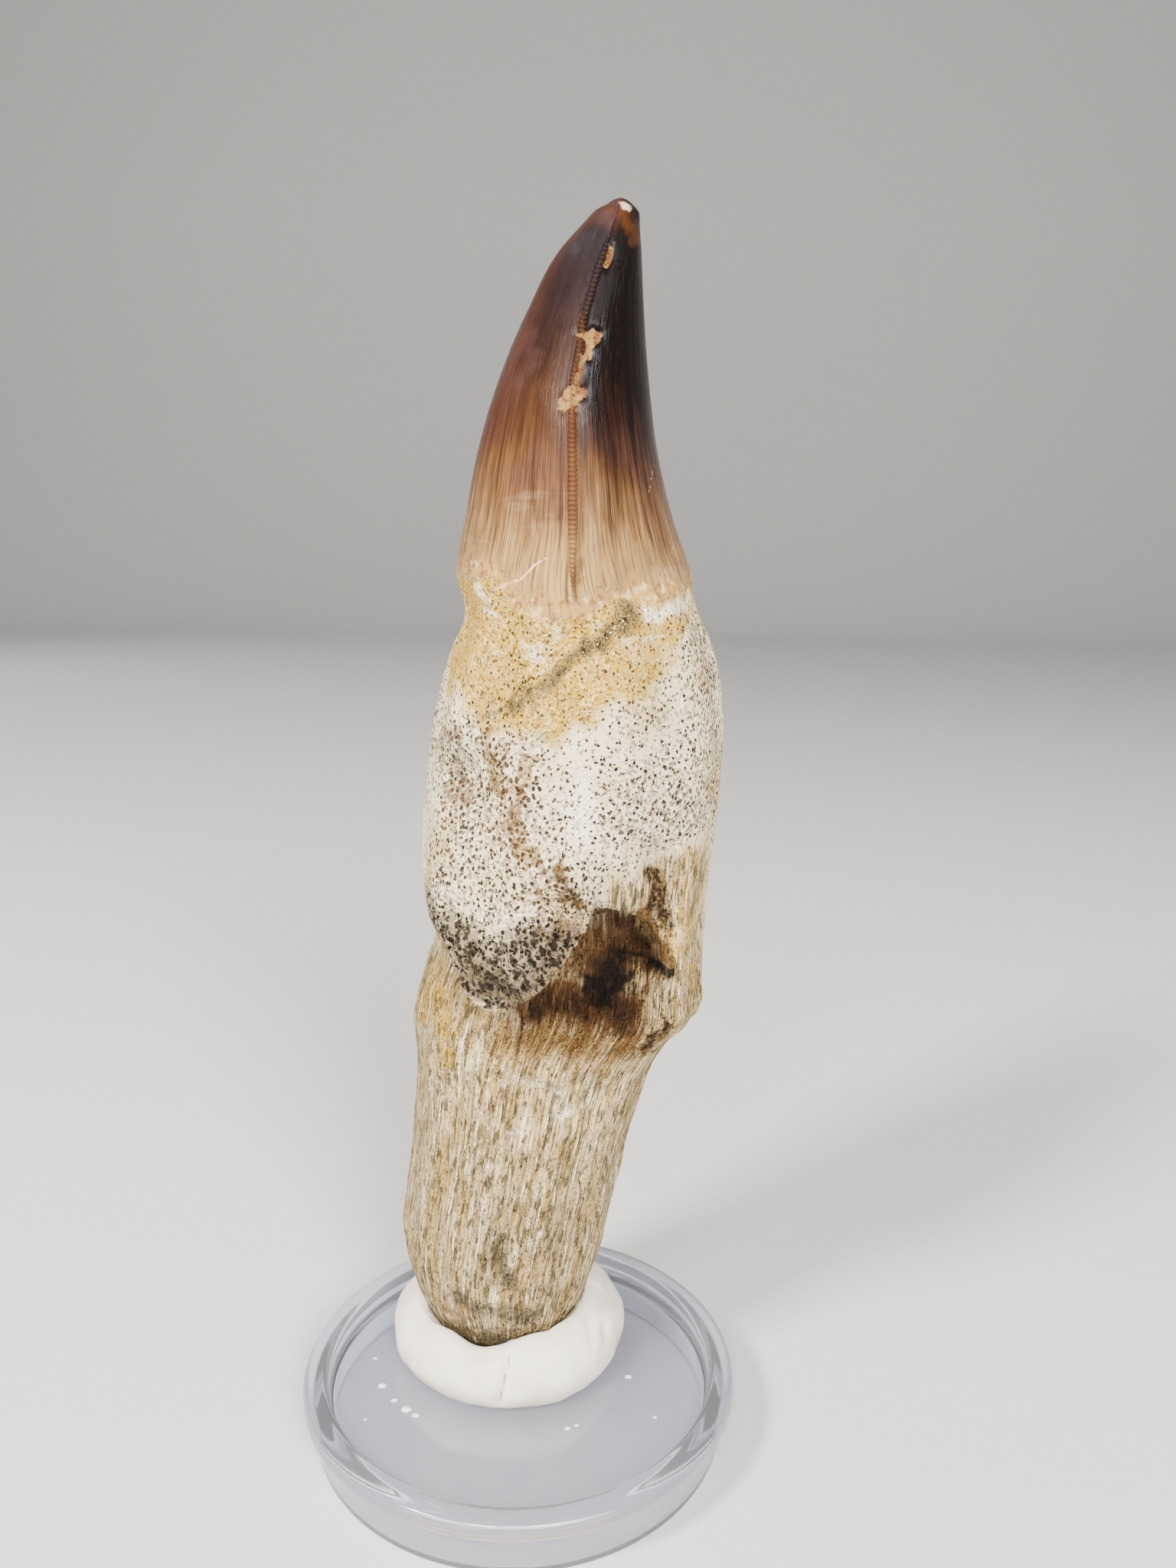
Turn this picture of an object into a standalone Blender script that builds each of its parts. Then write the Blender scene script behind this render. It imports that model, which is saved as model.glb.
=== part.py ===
"""Rooted fossil tooth of a large marine reptile, held upright in a collar of white putty on a clear plastic cap.

Frame: the origin is the centre of the cap's foot ring, on the surface it stands on, +Z is up, and the side
that carries the resorption pit faces -Y. All driving sizes below are in millimetres.
"""

import math

import bmesh
import bpy
import numpy as np

MM = 0.001

# Clear cap
CAP_RADIUS = 20.0
SKIRT_RADIUS = 18.85
SKIRT_WALL = 1.45
FLANGE_UNDERSIDE = 4.1
CAP_HEIGHT = 5.6
PLATE_TOP = 4.0
PLATE_THICKNESS = 1.4
RECESS_RADIUS = 17.6
LIP_ROUND = 0.7
CAP_STEPS = 56

# Putty collar, a pressed ball
PUTTY_CENTRE = (-1.3, 4.7, 6.4)
PUTTY_RADII = (11.0, 11.0, 5.6)
TOUCH_GAP = 0.3

# Tooth: left and right edges at each height, seen from the front
TOOTH_DEPTH_CENTRE = 4.5
TOOTH_BOTTOM = 5.2
TOOTH_TIP = (7.5, 107.6)
TIP_ROUND = 1.2
EDGES = (
    # height, left, right
    (8.0, -8.6, 5.0),
    (11.0, -10.2, 6.2),
    (15.0, -11.2, 7.4),
    (21.0, -10.8, 8.7),
    (27.0, -10.0, 9.8),
    (31.0, -9.7, 10.9),
    (34.5, -9.7, 12.2),
    (37.0, -9.9, 13.9),
    (39.0, -9.8, 15.8),
    (42.0, -9.2, 16.1),
    (46.0, -7.9, 16.0),
    (49.5, -8.8, 16.2),
    (54.0, -8.9, 16.6),
    (60.0, -8.5, 17.0),
    (66.0, -7.6, 17.0),
    (71.0, -6.3, 16.1),
    (74.5, -4.9, 14.8),
    (78.0, -5.6, 13.9),
    (83.0, -4.8, 12.1),
    (88.0, -3.8, 10.8),
    (94.0, -1.9, 9.9),
    (99.0, 0.3, 9.4),
    (103.5, 2.8, 9.1),
    (106.0, 5.1, 8.9),
    (107.0, 6.0, 8.9),
)
# How far the front and back faces stand from the tooth's middle plane at each height
DEPTHS = (
    # height, front, back
    (8.0, 6.4, 6.6),
    (14.0, 8.4, 8.8),
    (22.0, 9.0, 9.6),
    (32.0, 9.0, 10.2),
    (40.0, 9.4, 11.0),
    (47.0, 10.2, 12.2),
    (54.0, 11.6, 13.0),
    (62.0, 12.4, 13.0),
    (70.0, 11.8, 12.2),
    (76.0, 10.6, 10.8),
    (84.0, 9.2, 9.4),
    (92.0, 7.2, 7.6),
    (99.0, 4.9, 5.3),
    (104.0, 2.9, 3.2),
    (107.0, 1.5, 1.6),
)
CROWN_BASE = 76.0
KEEL_SHARPNESS = 0.28

# x of the keel down the crown's front at each height
KEEL_LINE = (
    # height, x
    (74.0, 4.4),
    (79.6, 4.2),
    (84.0, 4.1),
    (88.5, 4.0),
    (92.9, 4.0),
    (95.3, 4.4),
    (97.8, 4.8),
    (99.7, 5.3),
    (101.2, 5.7),
    (103.5, 6.4),
    (105.5, 7.0),
    (107.6, 7.5),
)

# Front relief, each at its x and height; a line is its start, its end and its half width
LOBE_EDGE = (
    # x, height along the free edge of the upper root, from its left side to its right
    (-14.0, 51.5),
    (-8.5, 49.3),
    (-6.6, 48.0),
    (-5.0, 46.2),
    (-3.8, 44.5),
    (-2.3, 43.8),
    (-0.7, 44.1),
    (1.1, 45.5),
    (2.9, 47.3),
    (4.6, 49.6),
    (5.9, 52.0),
    (6.9, 54.6),
    (7.6, 57.6),
    (8.4, 62.0),
    (12.0, 70.0),
)
LOBE_HEIGHT = 4.0
LOBE_OVERHANG = 0.3
PIT_CENTRE = (6.4, 45.2)
PIT_HALF = (5.1, 5.5)
PIT_DEPTH = 6.2
PIT_CEILING_REACH = 0.22
SLOT = ((11.2, 55.5), (11.7, 49.5), 1.3)
SLOT_DEPTH = 1.5
RIB = ((13.9, 50.0), (13.9, 41.0), 2.6)
RIB_HEIGHT = 1.5
SCOOP_CENTRE = (3.8, 35.6)
SCOOP_HALF = (6.0, 4.6)
SCOOP_DEPTH = 1.5
LEDGE_HEIGHT = 31.3
LEDGE_STEP = 0.7
DIMPLE_CENTRE = (-4.8, 62.2)
DIMPLE_HALF = (2.7, 2.6)
DIMPLE_DEPTH = 1.4
KNOB_CENTRE = (3.2, 55.6)
KNOB_RADIUS = 1.9
KNOB_HEIGHT = 0.6
HOLLOW_CENTRE = (3.4, 52.6)
HOLLOW_HALF = (2.0, 1.7)
HOLLOW_DEPTH = 0.8
SEAM = ((11.5, 79.6), (-3.2, 67.8), 1.3)
SEAM_DEPTH = 0.7
CLEFT = ((-0.4, 23.2), (-2.4, 14.9), 0.9)
CLEFT_DEPTH = 0.9

# Back relief
BACK_SCOOP_CENTRE = (5.0, 44.0)
BACK_SCOOP_HALF = (5.5, 9.0)
BACK_SCOOP_DEPTH = 2.2
FLUTES = 5
FLUTE_DEPTH = 0.2

# Loft density
FRONT_SEGMENTS = 34
BACK_SEGMENTS = 18
RELIEF_BAND = (30.0, 57.0)
ROWS_BELOW = 13
ROWS_IN_BAND = 27
ROWS_ABOVE = 20
ROWS_AT_TIP = 7
TIP_BAND = 100.0


def smooth(value, low, high):
    """0 below low, 1 above high, and an even S-curve between them."""
    t = np.clip((value - low) / (high - low), 0.0, 1.0)
    return t * t * (3.0 - 2.0 * t)


def spline(x, table, column):
    """A cubic through a table's points, with each slope taken from its neighbours."""
    keys = np.array([row[0] for row in table])
    values = np.array([row[column] for row in table])
    slopes = np.gradient(values, keys)
    x = np.clip(x, keys[0], keys[-1])
    i = np.clip(np.searchsorted(keys, x) - 1, 0, len(keys) - 2)
    width = keys[i + 1] - keys[i]
    t = (x - keys[i]) / width
    rise = 3.0 * t**2 - 2.0 * t**3
    bend = (t**3 - 2.0 * t**2 + t) * slopes[i] + (t**3 - t**2) * slopes[i + 1]
    return values[i] * (1.0 - rise) + values[i + 1] * rise + bend * width


def mound(x, z, centre, half, power=2.0):
    """1 at the centre, falling to 0 past an ellipse of these half widths."""
    distance = ((x - centre[0]) / half[0]) ** 2 + ((z - centre[1]) / half[1]) ** 2
    return np.exp(-(distance ** (power / 2.0)) * 1.4)


def off_line(x, z, start, end):
    """Distance from the straight line between two points, in millimetres."""
    run = np.array(end) - np.array(start)
    t = ((x - start[0]) * run[0] + (z - start[1]) * run[1]) / (run @ run)
    t = np.clip(t, 0.0, 1.0)
    return np.hypot(x - start[0] - t * run[0], z - start[1] - t * run[1])


def groove(x, z, start, end, width):
    """1 along the straight line from start to end, falling to 0 past its width."""
    return np.exp(-((off_line(x, z, start, end) / width) ** 2))


def edge_distance(x, z):
    """Distance from the lobe's free edge, positive on the lobe and negative below it."""
    nearest = np.full(np.shape(x), 99.0)
    for start, end in zip(LOBE_EDGE, LOBE_EDGE[1:]):
        nearest = np.minimum(nearest, off_line(x, z, start, end))
    line = np.interp(x, [point[0] for point in LOBE_EDGE], [point[1] for point in LOBE_EDGE])
    return np.where(z > line, nearest, -nearest)


def front_relief(x, z):
    """How far the front face stands out, and how far each point slides right and up, in millimetres.

    Points on the lobe slide over its edge in proportion to their height, so it overhangs, and points in the
    pit's roof slide up under it.
    """
    edge = edge_distance(x, z)
    step = 0.15
    lean_x = (edge_distance(x + step, z) - edge_distance(x - step, z)) / (2.0 * step)
    lean_z = (edge_distance(x, z + step) - edge_distance(x, z - step)) / (2.0 * step)
    upper = smooth(z, 51.0, 60.0)
    rise = smooth(edge, -0.7, 1.1 + 7.0 * upper)
    lobe = LOBE_HEIGHT * rise * (1.0 - smooth(z, 43.0, 68.0)) * (1.0 - smooth(x, 6.0, 12.0 + 5.0 * upper))
    ring = np.hypot((x - PIT_CENTRE[0]) / PIT_HALF[0], (z - PIT_CENTRE[1]) / PIT_HALF[1])
    softness = 0.07 + 0.20 * smooth(PIT_CENTRE[1] - z, -1.0, 4.0) + 0.12 * smooth(PIT_CENTRE[0] - x, 0.0, 4.0)
    pit = 1.0 / (1.0 + np.exp((ring - 1.0) / softness)) * smooth(edge, 1.0, -0.7)
    scoop = mound(x, z, SCOOP_CENTRE, SCOOP_HALF, 3.0)
    ledge = smooth(LEDGE_HEIGHT - z, -0.6, 0.6) * smooth(z, 18.0, 30.0) * np.exp(-(((x - 3.0) / 6.0) ** 4))
    out = (
        lobe
        - PIT_DEPTH * pit
        + RIB_HEIGHT * groove(x, z, *RIB)
        - SLOT_DEPTH * groove(x, z, *SLOT)
        - SCOOP_DEPTH * scoop
        + LEDGE_STEP * ledge
        - DIMPLE_DEPTH * mound(x, z, DIMPLE_CENTRE, DIMPLE_HALF)
        + KNOB_HEIGHT * mound(x, z, KNOB_CENTRE, (KNOB_RADIUS, KNOB_RADIUS))
        - HOLLOW_DEPTH * mound(x, z, HOLLOW_CENTRE, HOLLOW_HALF)
        - SEAM_DEPTH * groove(x, z, *SEAM)
        - CLEFT_DEPTH * groove(x, z, *CLEFT)
    )
    near_edge = 1.0 - smooth(edge, 1.0, 6.0)
    roof = PIT_CEILING_REACH * PIT_DEPTH * pit * smooth(z, PIT_CENTRE[1], PIT_CENTRE[1] + 3.0)
    over = LOBE_OVERHANG * lobe * near_edge * smooth(x, -7.5, -2.5)
    return out, -over * lean_x, roof - over * lean_z


def back_relief(x, z):
    """How far the back face stands out: one long shallow scoop, as the inner side of a jaw tooth has."""
    return -BACK_SCOOP_DEPTH * mound(x, z, BACK_SCOOP_CENTRE, BACK_SCOOP_HALF, 3.0)


def tooth_surface(angle, z, grow=0.0):
    """The tooth's surface at an angle round its section and a height, pushed out by grow."""
    left = spline(z, EDGES, 1)
    right = spline(z, EDGES, 2)
    tip_share = np.sqrt(np.clip((TOOTH_TIP[1] - z) / TIP_ROUND, 0.0, 1.0))
    end_share = np.sqrt(np.clip((z - TOOTH_BOTTOM + 0.15) / 3.0, 0.0, 1.0))
    middle = (left + right) / 2.0
    to_tip = smooth(z, EDGES[-1][0], TOOTH_TIP[1])
    middle = middle * (1.0 - to_tip) + TOOTH_TIP[0] * to_tip
    half = (right - left) / 2.0
    crown = smooth(z, CROWN_BASE - 3.0, CROWN_BASE + 6.0)
    sideways = np.cos(angle)
    keel = 1.0 + KEEL_SHARPNESS * crown
    sideways = np.sign(sideways) * np.abs(sideways) ** keel
    flutes = FLUTE_DEPTH * np.cos(angle * 2 * FLUTES) * (1.0 - crown) * smooth(z, 10.0, 30.0)
    ends = tip_share * end_share
    depth = np.where(np.sin(angle) < 0.0, spline(z, DEPTHS, 1), spline(z, DEPTHS, 2))
    x = middle + ((half + flutes) * ends + grow) * sideways
    y = TOOTH_DEPTH_CENTRE + ((depth + flutes) * ends + grow) * np.sin(angle)
    facing = smooth(-np.sin(angle), 0.1, 0.55)
    x = x + (spline(z, KEEL_LINE, 1) - middle) * (1.0 - sideways**2) * facing * crown
    behind = smooth(np.sin(angle), 0.1, 0.55)
    near_ends = end_share * smooth(TOOTH_TIP[1] - z, 0.0, 6.0)
    out, slide_x, slide_z = front_relief(x, z)
    shown = facing * near_ends
    y = y - out * shown + back_relief(x, z) * behind * near_ends
    return x + slide_x * shown, y, z + slide_z * shown


def loft_angles():
    """Angles round the section, closer together on the front, which has the relief."""
    back = np.linspace(0.0, math.pi, BACK_SEGMENTS, endpoint=False)
    front = np.linspace(math.pi, 2.0 * math.pi, FRONT_SEGMENTS, endpoint=False)
    return np.concatenate([back, front])


def loft_heights():
    """Heights of the rings, closer together across the pit and the lobe, and at the two rounded ends."""
    ease = np.linspace(0.0, 1.0, ROWS_BELOW, endpoint=False) ** 1.6
    below = TOOTH_BOTTOM + (RELIEF_BAND[0] - TOOTH_BOTTOM) * ease
    band = np.linspace(*RELIEF_BAND, ROWS_IN_BAND, endpoint=False)
    above = np.linspace(RELIEF_BAND[1], TIP_BAND, ROWS_ABOVE, endpoint=False)
    turn = np.sin(np.linspace(0.0, math.pi / 2.0, ROWS_AT_TIP + 1))[:-1]
    tip = TIP_BAND + (TOOTH_TIP[1] - TIP_BAND) * turn
    return np.concatenate([below, band, above, tip])


def tooth_mesh(name, top, grow=0.0):
    """A closed loft up the tooth to the height top, with every section its own outline."""
    angles = loft_angles()
    heights = loft_heights()
    heights = heights[heights <= top]
    grid_angle, grid_height = np.meshgrid(angles, heights)
    x, y, z = tooth_surface(grid_angle, grid_height, grow)
    z[0] = z[0] - grow
    points = np.stack([x, y, z], axis=-1).reshape(-1, 3) * MM
    bm = bmesh.new()
    verts = [bm.verts.new(point) for point in points.tolist()]
    count = len(angles)
    rings = [verts[i * count : (i + 1) * count] for i in range(len(heights))]
    for lower, upper in zip(rings, rings[1:]):
        for i in range(count):
            j = (i + 1) % count
            bm.faces.new((lower[i], lower[j], upper[j], upper[i]))
    for ring, is_top in ((rings[0], False), (rings[-1], True)):
        centre = np.mean([vert.co for vert in ring], axis=0)
        if is_top and top >= TOOTH_TIP[1]:
            centre[2] = TOOTH_TIP[1] * MM
        hub = bm.verts.new(centre.tolist())
        for i in range(count):
            pair = (ring[i], ring[(i + 1) % count])
            bm.faces.new((*pair, hub) if is_top else (*reversed(pair), hub))
    bmesh.ops.recalc_face_normals(bm, faces=bm.faces)
    mesh = bpy.data.meshes.new(name)
    bm.to_mesh(mesh)
    bm.free()
    mesh.shade_smooth()
    return mesh


def add_object(name, mesh, collection, material=None):
    obj = bpy.data.objects.new(name, mesh)
    collection.objects.link(obj)
    if material:
        mesh.materials.append(material)
    return obj


def make_material(name, colour, roughness, alpha=1.0):
    material = bpy.data.materials.new(name)
    material.use_nodes = True
    shader = material.node_tree.nodes["Principled BSDF"]
    shader.inputs["Base Color"].default_value = (*colour, 1.0)
    shader.inputs["Roughness"].default_value = roughness
    shader.inputs["Metallic"].default_value = 0.0
    shader.inputs["Alpha"].default_value = alpha
    return material


def make_collection(name):
    collection = bpy.data.collections.new(name)
    bpy.context.scene.collection.children.link(collection)
    return collection


def as_cutter(obj):
    obj.hide_render = True
    obj.display_type = "WIRE"


def add_boolean(obj, cutter, operation="DIFFERENCE"):
    modifier = obj.modifiers.new(operation.title(), "BOOLEAN")
    modifier.operation = operation
    modifier.solver = "EXACT"
    modifier.object = cutter


def build_cap(collection):
    """The cap: a foot ring, a flat plate inside it, and a rounded lip that overhangs as a flange."""
    lip = [
        (CAP_RADIUS, FLANGE_UNDERSIDE),
        (SKIRT_RADIUS, FLANGE_UNDERSIDE),
        (SKIRT_RADIUS, 0.0),
        (SKIRT_RADIUS - SKIRT_WALL, 0.0),
        (SKIRT_RADIUS - SKIRT_WALL, PLATE_TOP - PLATE_THICKNESS),
        (0.0, PLATE_TOP - PLATE_THICKNESS),
    ]
    top = [
        (0.0, PLATE_TOP),
        (RECESS_RADIUS, PLATE_TOP),
        (RECESS_RADIUS, CAP_HEIGHT - LIP_ROUND * 0.5),
        (RECESS_RADIUS + LIP_ROUND * 0.5, CAP_HEIGHT),
        (CAP_RADIUS - LIP_ROUND * 1.4, CAP_HEIGHT - LIP_ROUND * 0.1),
        (CAP_RADIUS - LIP_ROUND * 0.5, CAP_HEIGHT - LIP_ROUND * 0.5),
        (CAP_RADIUS, CAP_HEIGHT - LIP_ROUND * 1.3),
    ]
    outline = lip + top
    mesh = bpy.data.meshes.new("cap_profile")
    points = [(radius * MM, 0.0, height * MM) for radius, height in outline]
    edges = [(i, i + 1) for i in range(len(points) - 1)]
    start = outline.index((0.0, PLATE_TOP))
    end = outline.index((0.0, PLATE_TOP - PLATE_THICKNESS))
    edges = [edge for edge in edges if edge != (min(start, end), max(start, end))]
    edges.append((len(points) - 1, 0))
    mesh.from_pydata(points, edges, [])
    material = make_material("clear_polystyrene", (0.93, 0.95, 0.97), 0.06, alpha=0.35)
    cap = add_object("stand_cap", mesh, collection, material)
    screw = cap.modifiers.new("Turn", "SCREW")
    screw.steps = CAP_STEPS
    screw.render_steps = CAP_STEPS
    screw.use_merge_vertices = True
    screw.merge_threshold = 0.00001
    screw.use_normal_calculate = True
    return cap


def build_putty(collection, cutters):
    """The collar: a pressed ball, cut flat on the plate and cut out for the root."""
    bm = bmesh.new()
    bmesh.ops.create_uvsphere(bm, u_segments=36, v_segments=18, radius=1.0)
    for vert in bm.verts:
        for axis in range(3):
            vert.co[axis] = (vert.co[axis] * PUTTY_RADII[axis] + PUTTY_CENTRE[axis]) * MM
    mesh = bpy.data.meshes.new("putty_collar")
    bm.to_mesh(mesh)
    bm.free()
    material = make_material("white_putty", (0.86, 0.83, 0.77), 0.55)
    putty = add_object("putty_collar", mesh, collection, material)
    bpy.ops.mesh.primitive_cube_add(size=60 * MM)
    plate_space = bpy.context.object
    plate_space.name = "plate_space"
    plate_space.location.z = (PLATE_TOP + TOUCH_GAP - 30.0) * MM
    for old in list(plate_space.users_collection):
        old.objects.unlink(plate_space)
    cutters.objects.link(plate_space)
    root_space = add_object("root_space", tooth_mesh("root_space", 30.0, TOUCH_GAP), cutters)
    for cutter in (plate_space, root_space):
        as_cutter(cutter)
        add_boolean(putty, cutter)
    return putty


def build_tooth(collection):
    material = make_material("fossil_bone_and_enamel", (0.66, 0.56, 0.42), 0.75)
    return add_object("tooth", tooth_mesh("tooth", TOOTH_TIP[1]), collection, material)


def main():
    for obj in list(bpy.data.objects):
        bpy.data.objects.remove(obj)
    parts = make_collection("rooted_fossil_tooth")
    cutters = make_collection("cutters")
    build_cap(parts)
    build_putty(parts, cutters)
    build_tooth(parts)


main()
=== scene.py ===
"""Looks of a rooted fossil tooth held in white putty on a clear plastic cap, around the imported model."""

import math

import bpy
import numpy as np
from mathutils import Matrix, Vector


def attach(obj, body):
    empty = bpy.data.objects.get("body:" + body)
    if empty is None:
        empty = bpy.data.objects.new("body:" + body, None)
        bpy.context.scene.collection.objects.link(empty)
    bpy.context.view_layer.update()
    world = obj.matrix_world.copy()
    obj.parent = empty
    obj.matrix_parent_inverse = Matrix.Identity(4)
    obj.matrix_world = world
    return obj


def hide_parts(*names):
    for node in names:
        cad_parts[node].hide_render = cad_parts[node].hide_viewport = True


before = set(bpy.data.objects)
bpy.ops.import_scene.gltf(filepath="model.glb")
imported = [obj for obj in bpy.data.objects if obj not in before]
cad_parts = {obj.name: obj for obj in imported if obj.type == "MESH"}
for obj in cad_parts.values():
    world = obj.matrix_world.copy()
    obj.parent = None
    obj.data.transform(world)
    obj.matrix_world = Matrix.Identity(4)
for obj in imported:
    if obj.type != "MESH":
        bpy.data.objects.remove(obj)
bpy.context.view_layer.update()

bl_info = {
    "name": "Rooted Fossil Tooth",
    "version": (1, 0, 0),
    "blender": (4, 5, 0),
    "location": "View3D > Sidebar > Fossil Tooth",
    "description": "Builds the finished surfaces of a rooted fossil tooth, its putty and its clear cap",
    "category": "Mesh",
}

MM = 0.001

# Tooth: left and right edges at each height, seen from the front, in millimetres
TOOTH_DEPTH_CENTRE = 4.5
TOOTH_BOTTOM = 5.2
TOOTH_TIP = (7.5, 107.6)
TIP_ROUND = 1.2
EDGES = (
    # height, left, right
    (8.0, -8.6, 5.0),
    (11.0, -10.2, 6.2),
    (15.0, -11.2, 7.4),
    (21.0, -10.8, 8.7),
    (27.0, -10.0, 9.8),
    (31.0, -9.7, 10.9),
    (34.5, -9.7, 12.2),
    (37.0, -9.9, 13.9),
    (39.0, -9.8, 15.8),
    (42.0, -9.2, 16.1),
    (46.0, -7.9, 16.0),
    (49.5, -8.8, 16.2),
    (54.0, -8.9, 16.6),
    (60.0, -8.5, 17.0),
    (66.0, -7.6, 17.0),
    (71.0, -6.3, 16.1),
    (74.5, -4.9, 14.8),
    (78.0, -5.6, 13.9),
    (83.0, -4.8, 12.1),
    (88.0, -3.8, 10.8),
    (94.0, -1.9, 9.9),
    (99.0, 0.3, 9.4),
    (103.5, 2.8, 9.1),
    (106.0, 5.1, 8.9),
    (107.0, 6.0, 8.9),
)
DEPTHS = (
    # height, front and back distance from the tooth's middle plane
    (8.0, 6.4, 6.6),
    (14.0, 8.4, 8.8),
    (22.0, 9.0, 9.6),
    (32.0, 9.0, 10.2),
    (40.0, 9.4, 11.0),
    (47.0, 10.2, 12.2),
    (54.0, 11.6, 13.0),
    (62.0, 12.4, 13.0),
    (70.0, 11.8, 12.2),
    (76.0, 10.6, 10.8),
    (84.0, 9.2, 9.4),
    (92.0, 7.2, 7.6),
    (99.0, 4.9, 5.3),
    (104.0, 2.9, 3.2),
    (107.0, 1.5, 1.6),
)
CROWN_BASE = 76.0
KEEL_SHARPNESS = 0.28

# x of the keel down the crown's front at each height
KEEL_LINE = (
    # height, x
    (74.0, 4.4),
    (79.6, 4.2),
    (84.0, 4.1),
    (88.5, 4.0),
    (92.9, 4.0),
    (95.3, 4.4),
    (97.8, 4.8),
    (99.7, 5.3),
    (101.2, 5.7),
    (103.5, 6.4),
    (105.5, 7.0),
    (107.6, 7.5),
)

# Main relief of the root's front, as in the solid
LOBE_EDGE = (
    # x, height along the free edge of the upper root, from its left side to its right
    (-14.0, 51.5),
    (-8.5, 49.3),
    (-6.6, 48.0),
    (-5.0, 46.2),
    (-3.8, 44.5),
    (-2.3, 43.8),
    (-0.7, 44.1),
    (1.1, 45.5),
    (2.9, 47.3),
    (4.6, 49.6),
    (5.9, 52.0),
    (6.9, 54.6),
    (7.6, 57.6),
    (8.4, 62.0),
    (12.0, 70.0),
)
LOBE_HEIGHT = 4.0
LOBE_OVERHANG = 0.38
PIT_CENTRE = (6.4, 45.2)
PIT_HALF = (5.1, 5.5)
PIT_DEPTH = 6.2
PIT_CEILING_REACH = 0.22
SLOT = ((11.2, 55.5), (11.7, 49.5), 1.3)
SLOT_DEPTH = 1.5
RIB = ((13.9, 50.0), (13.9, 41.0), 2.6)
RIB_HEIGHT = 1.5
SCOOP_CENTRE = (3.8, 35.6)
SCOOP_HALF = (6.0, 4.6)
SCOOP_DEPTH = 1.5
LEDGE_HEIGHT = 31.3
LEDGE_STEP = 0.7
DIMPLE_CENTRE = (-4.8, 62.2)
DIMPLE_HALF = (2.7, 2.6)
DIMPLE_DEPTH = 1.4
KNOB_CENTRE = (3.2, 55.6)
KNOB_RADIUS = 1.9
KNOB_HEIGHT = 0.6
HOLLOW_CENTRE = (3.4, 52.6)
HOLLOW_HALF = (2.0, 1.7)
HOLLOW_DEPTH = 0.8
SEAM = ((11.5, 79.6), (-3.2, 67.8), 1.3)
SEAM_DEPTH = 0.7
CLEFT = ((-0.4, 23.2), (-2.4, 14.9), 0.9)
CLEFT_DEPTH = 0.9
BACK_SCOOP_CENTRE = (5.0, 44.0)
BACK_SCOOP_HALF = (5.5, 9.0)
BACK_SCOOP_DEPTH = 2.2
FLUTES = 5
FLUTE_DEPTH = 0.2

# Cap, turned about the vertical axis
CAP_RADIUS = 20.0
CAP_HEIGHT = 5.6
PLATE_TOP = 4.0
PLATE_THICKNESS = 1.4
LIP_WIDTH = 2.4
FLANGE_REACH = 1.15
FLANGE_UNDERSIDE = 4.1
SKIRT_WALL = 1.45

# Putty collar
PUTTY_CENTRE = (-1.3, 4.7, 6.4)
PUTTY_RADIUS = 11.0
PUTTY_HALF_HEIGHT = 5.6

# Camera, in the frame's millimetres and degrees
CAMERA_PLACE = (5.58, -100.55, 82.77)
CAMERA_PITCH = -12.38
CAMERA_ROLL = 0.84
CAMERA_LENS = 28.0
CAMERA_SENSOR = 36.0


def smooth(value, low, high):
    """0 below low, 1 above high, and an even S-curve between them."""
    t = np.clip((value - low) / (high - low), 0.0, 1.0)
    return t * t * (3.0 - 2.0 * t)


def spline(x, table, column):
    """A cubic through a table's points, with each slope taken from its neighbours."""
    keys = np.array([row[0] for row in table])
    values = np.array([row[column] for row in table])
    slopes = np.gradient(values, keys)
    x = np.clip(x, keys[0], keys[-1])
    i = np.clip(np.searchsorted(keys, x) - 1, 0, len(keys) - 2)
    width = keys[i + 1] - keys[i]
    t = (x - keys[i]) / width
    rise = 3.0 * t**2 - 2.0 * t**3
    bend = (t**3 - 2.0 * t**2 + t) * slopes[i] + (t**3 - t**2) * slopes[i + 1]
    return values[i] * (1.0 - rise) + values[i + 1] * rise + bend * width


def mound(x, z, centre, half, power=2.0):
    """1 at the centre, falling to 0 past an ellipse of these half widths."""
    distance = ((x - centre[0]) / half[0]) ** 2 + ((z - centre[1]) / half[1]) ** 2
    return np.exp(-(distance ** (power / 2.0)) * 1.4)


def off_line(x, z, start, end):
    """Distance from the straight line between two points, in millimetres."""
    run = np.array(end) - np.array(start)
    t = ((x - start[0]) * run[0] + (z - start[1]) * run[1]) / (run @ run)
    t = np.clip(t, 0.0, 1.0)
    return np.hypot(x - start[0] - t * run[0], z - start[1] - t * run[1])


def groove(x, z, start, end, width):
    """1 along the straight line from start to end, falling to 0 past its width."""
    return np.exp(-((off_line(x, z, start, end) / width) ** 2))


def lattice(ix, iy, iz, seed):
    """A fixed value from 0 to 1 for each whole-number point, mixed from its three numbers."""
    mixed = ix * 73856093 ^ iy * 19349663 ^ iz * 83492791 ^ seed * 2654435761
    mixed = mixed & 0xFFFFFFFF
    mixed = (mixed ^ (mixed >> 15)) * 2246822519 & 0xFFFFFFFF
    mixed = (mixed ^ (mixed >> 13)) * 3266489917 & 0xFFFFFFFF
    return ((mixed ^ (mixed >> 16)) & 0xFFFFFF) / float(0xFFFFFF)


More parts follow.
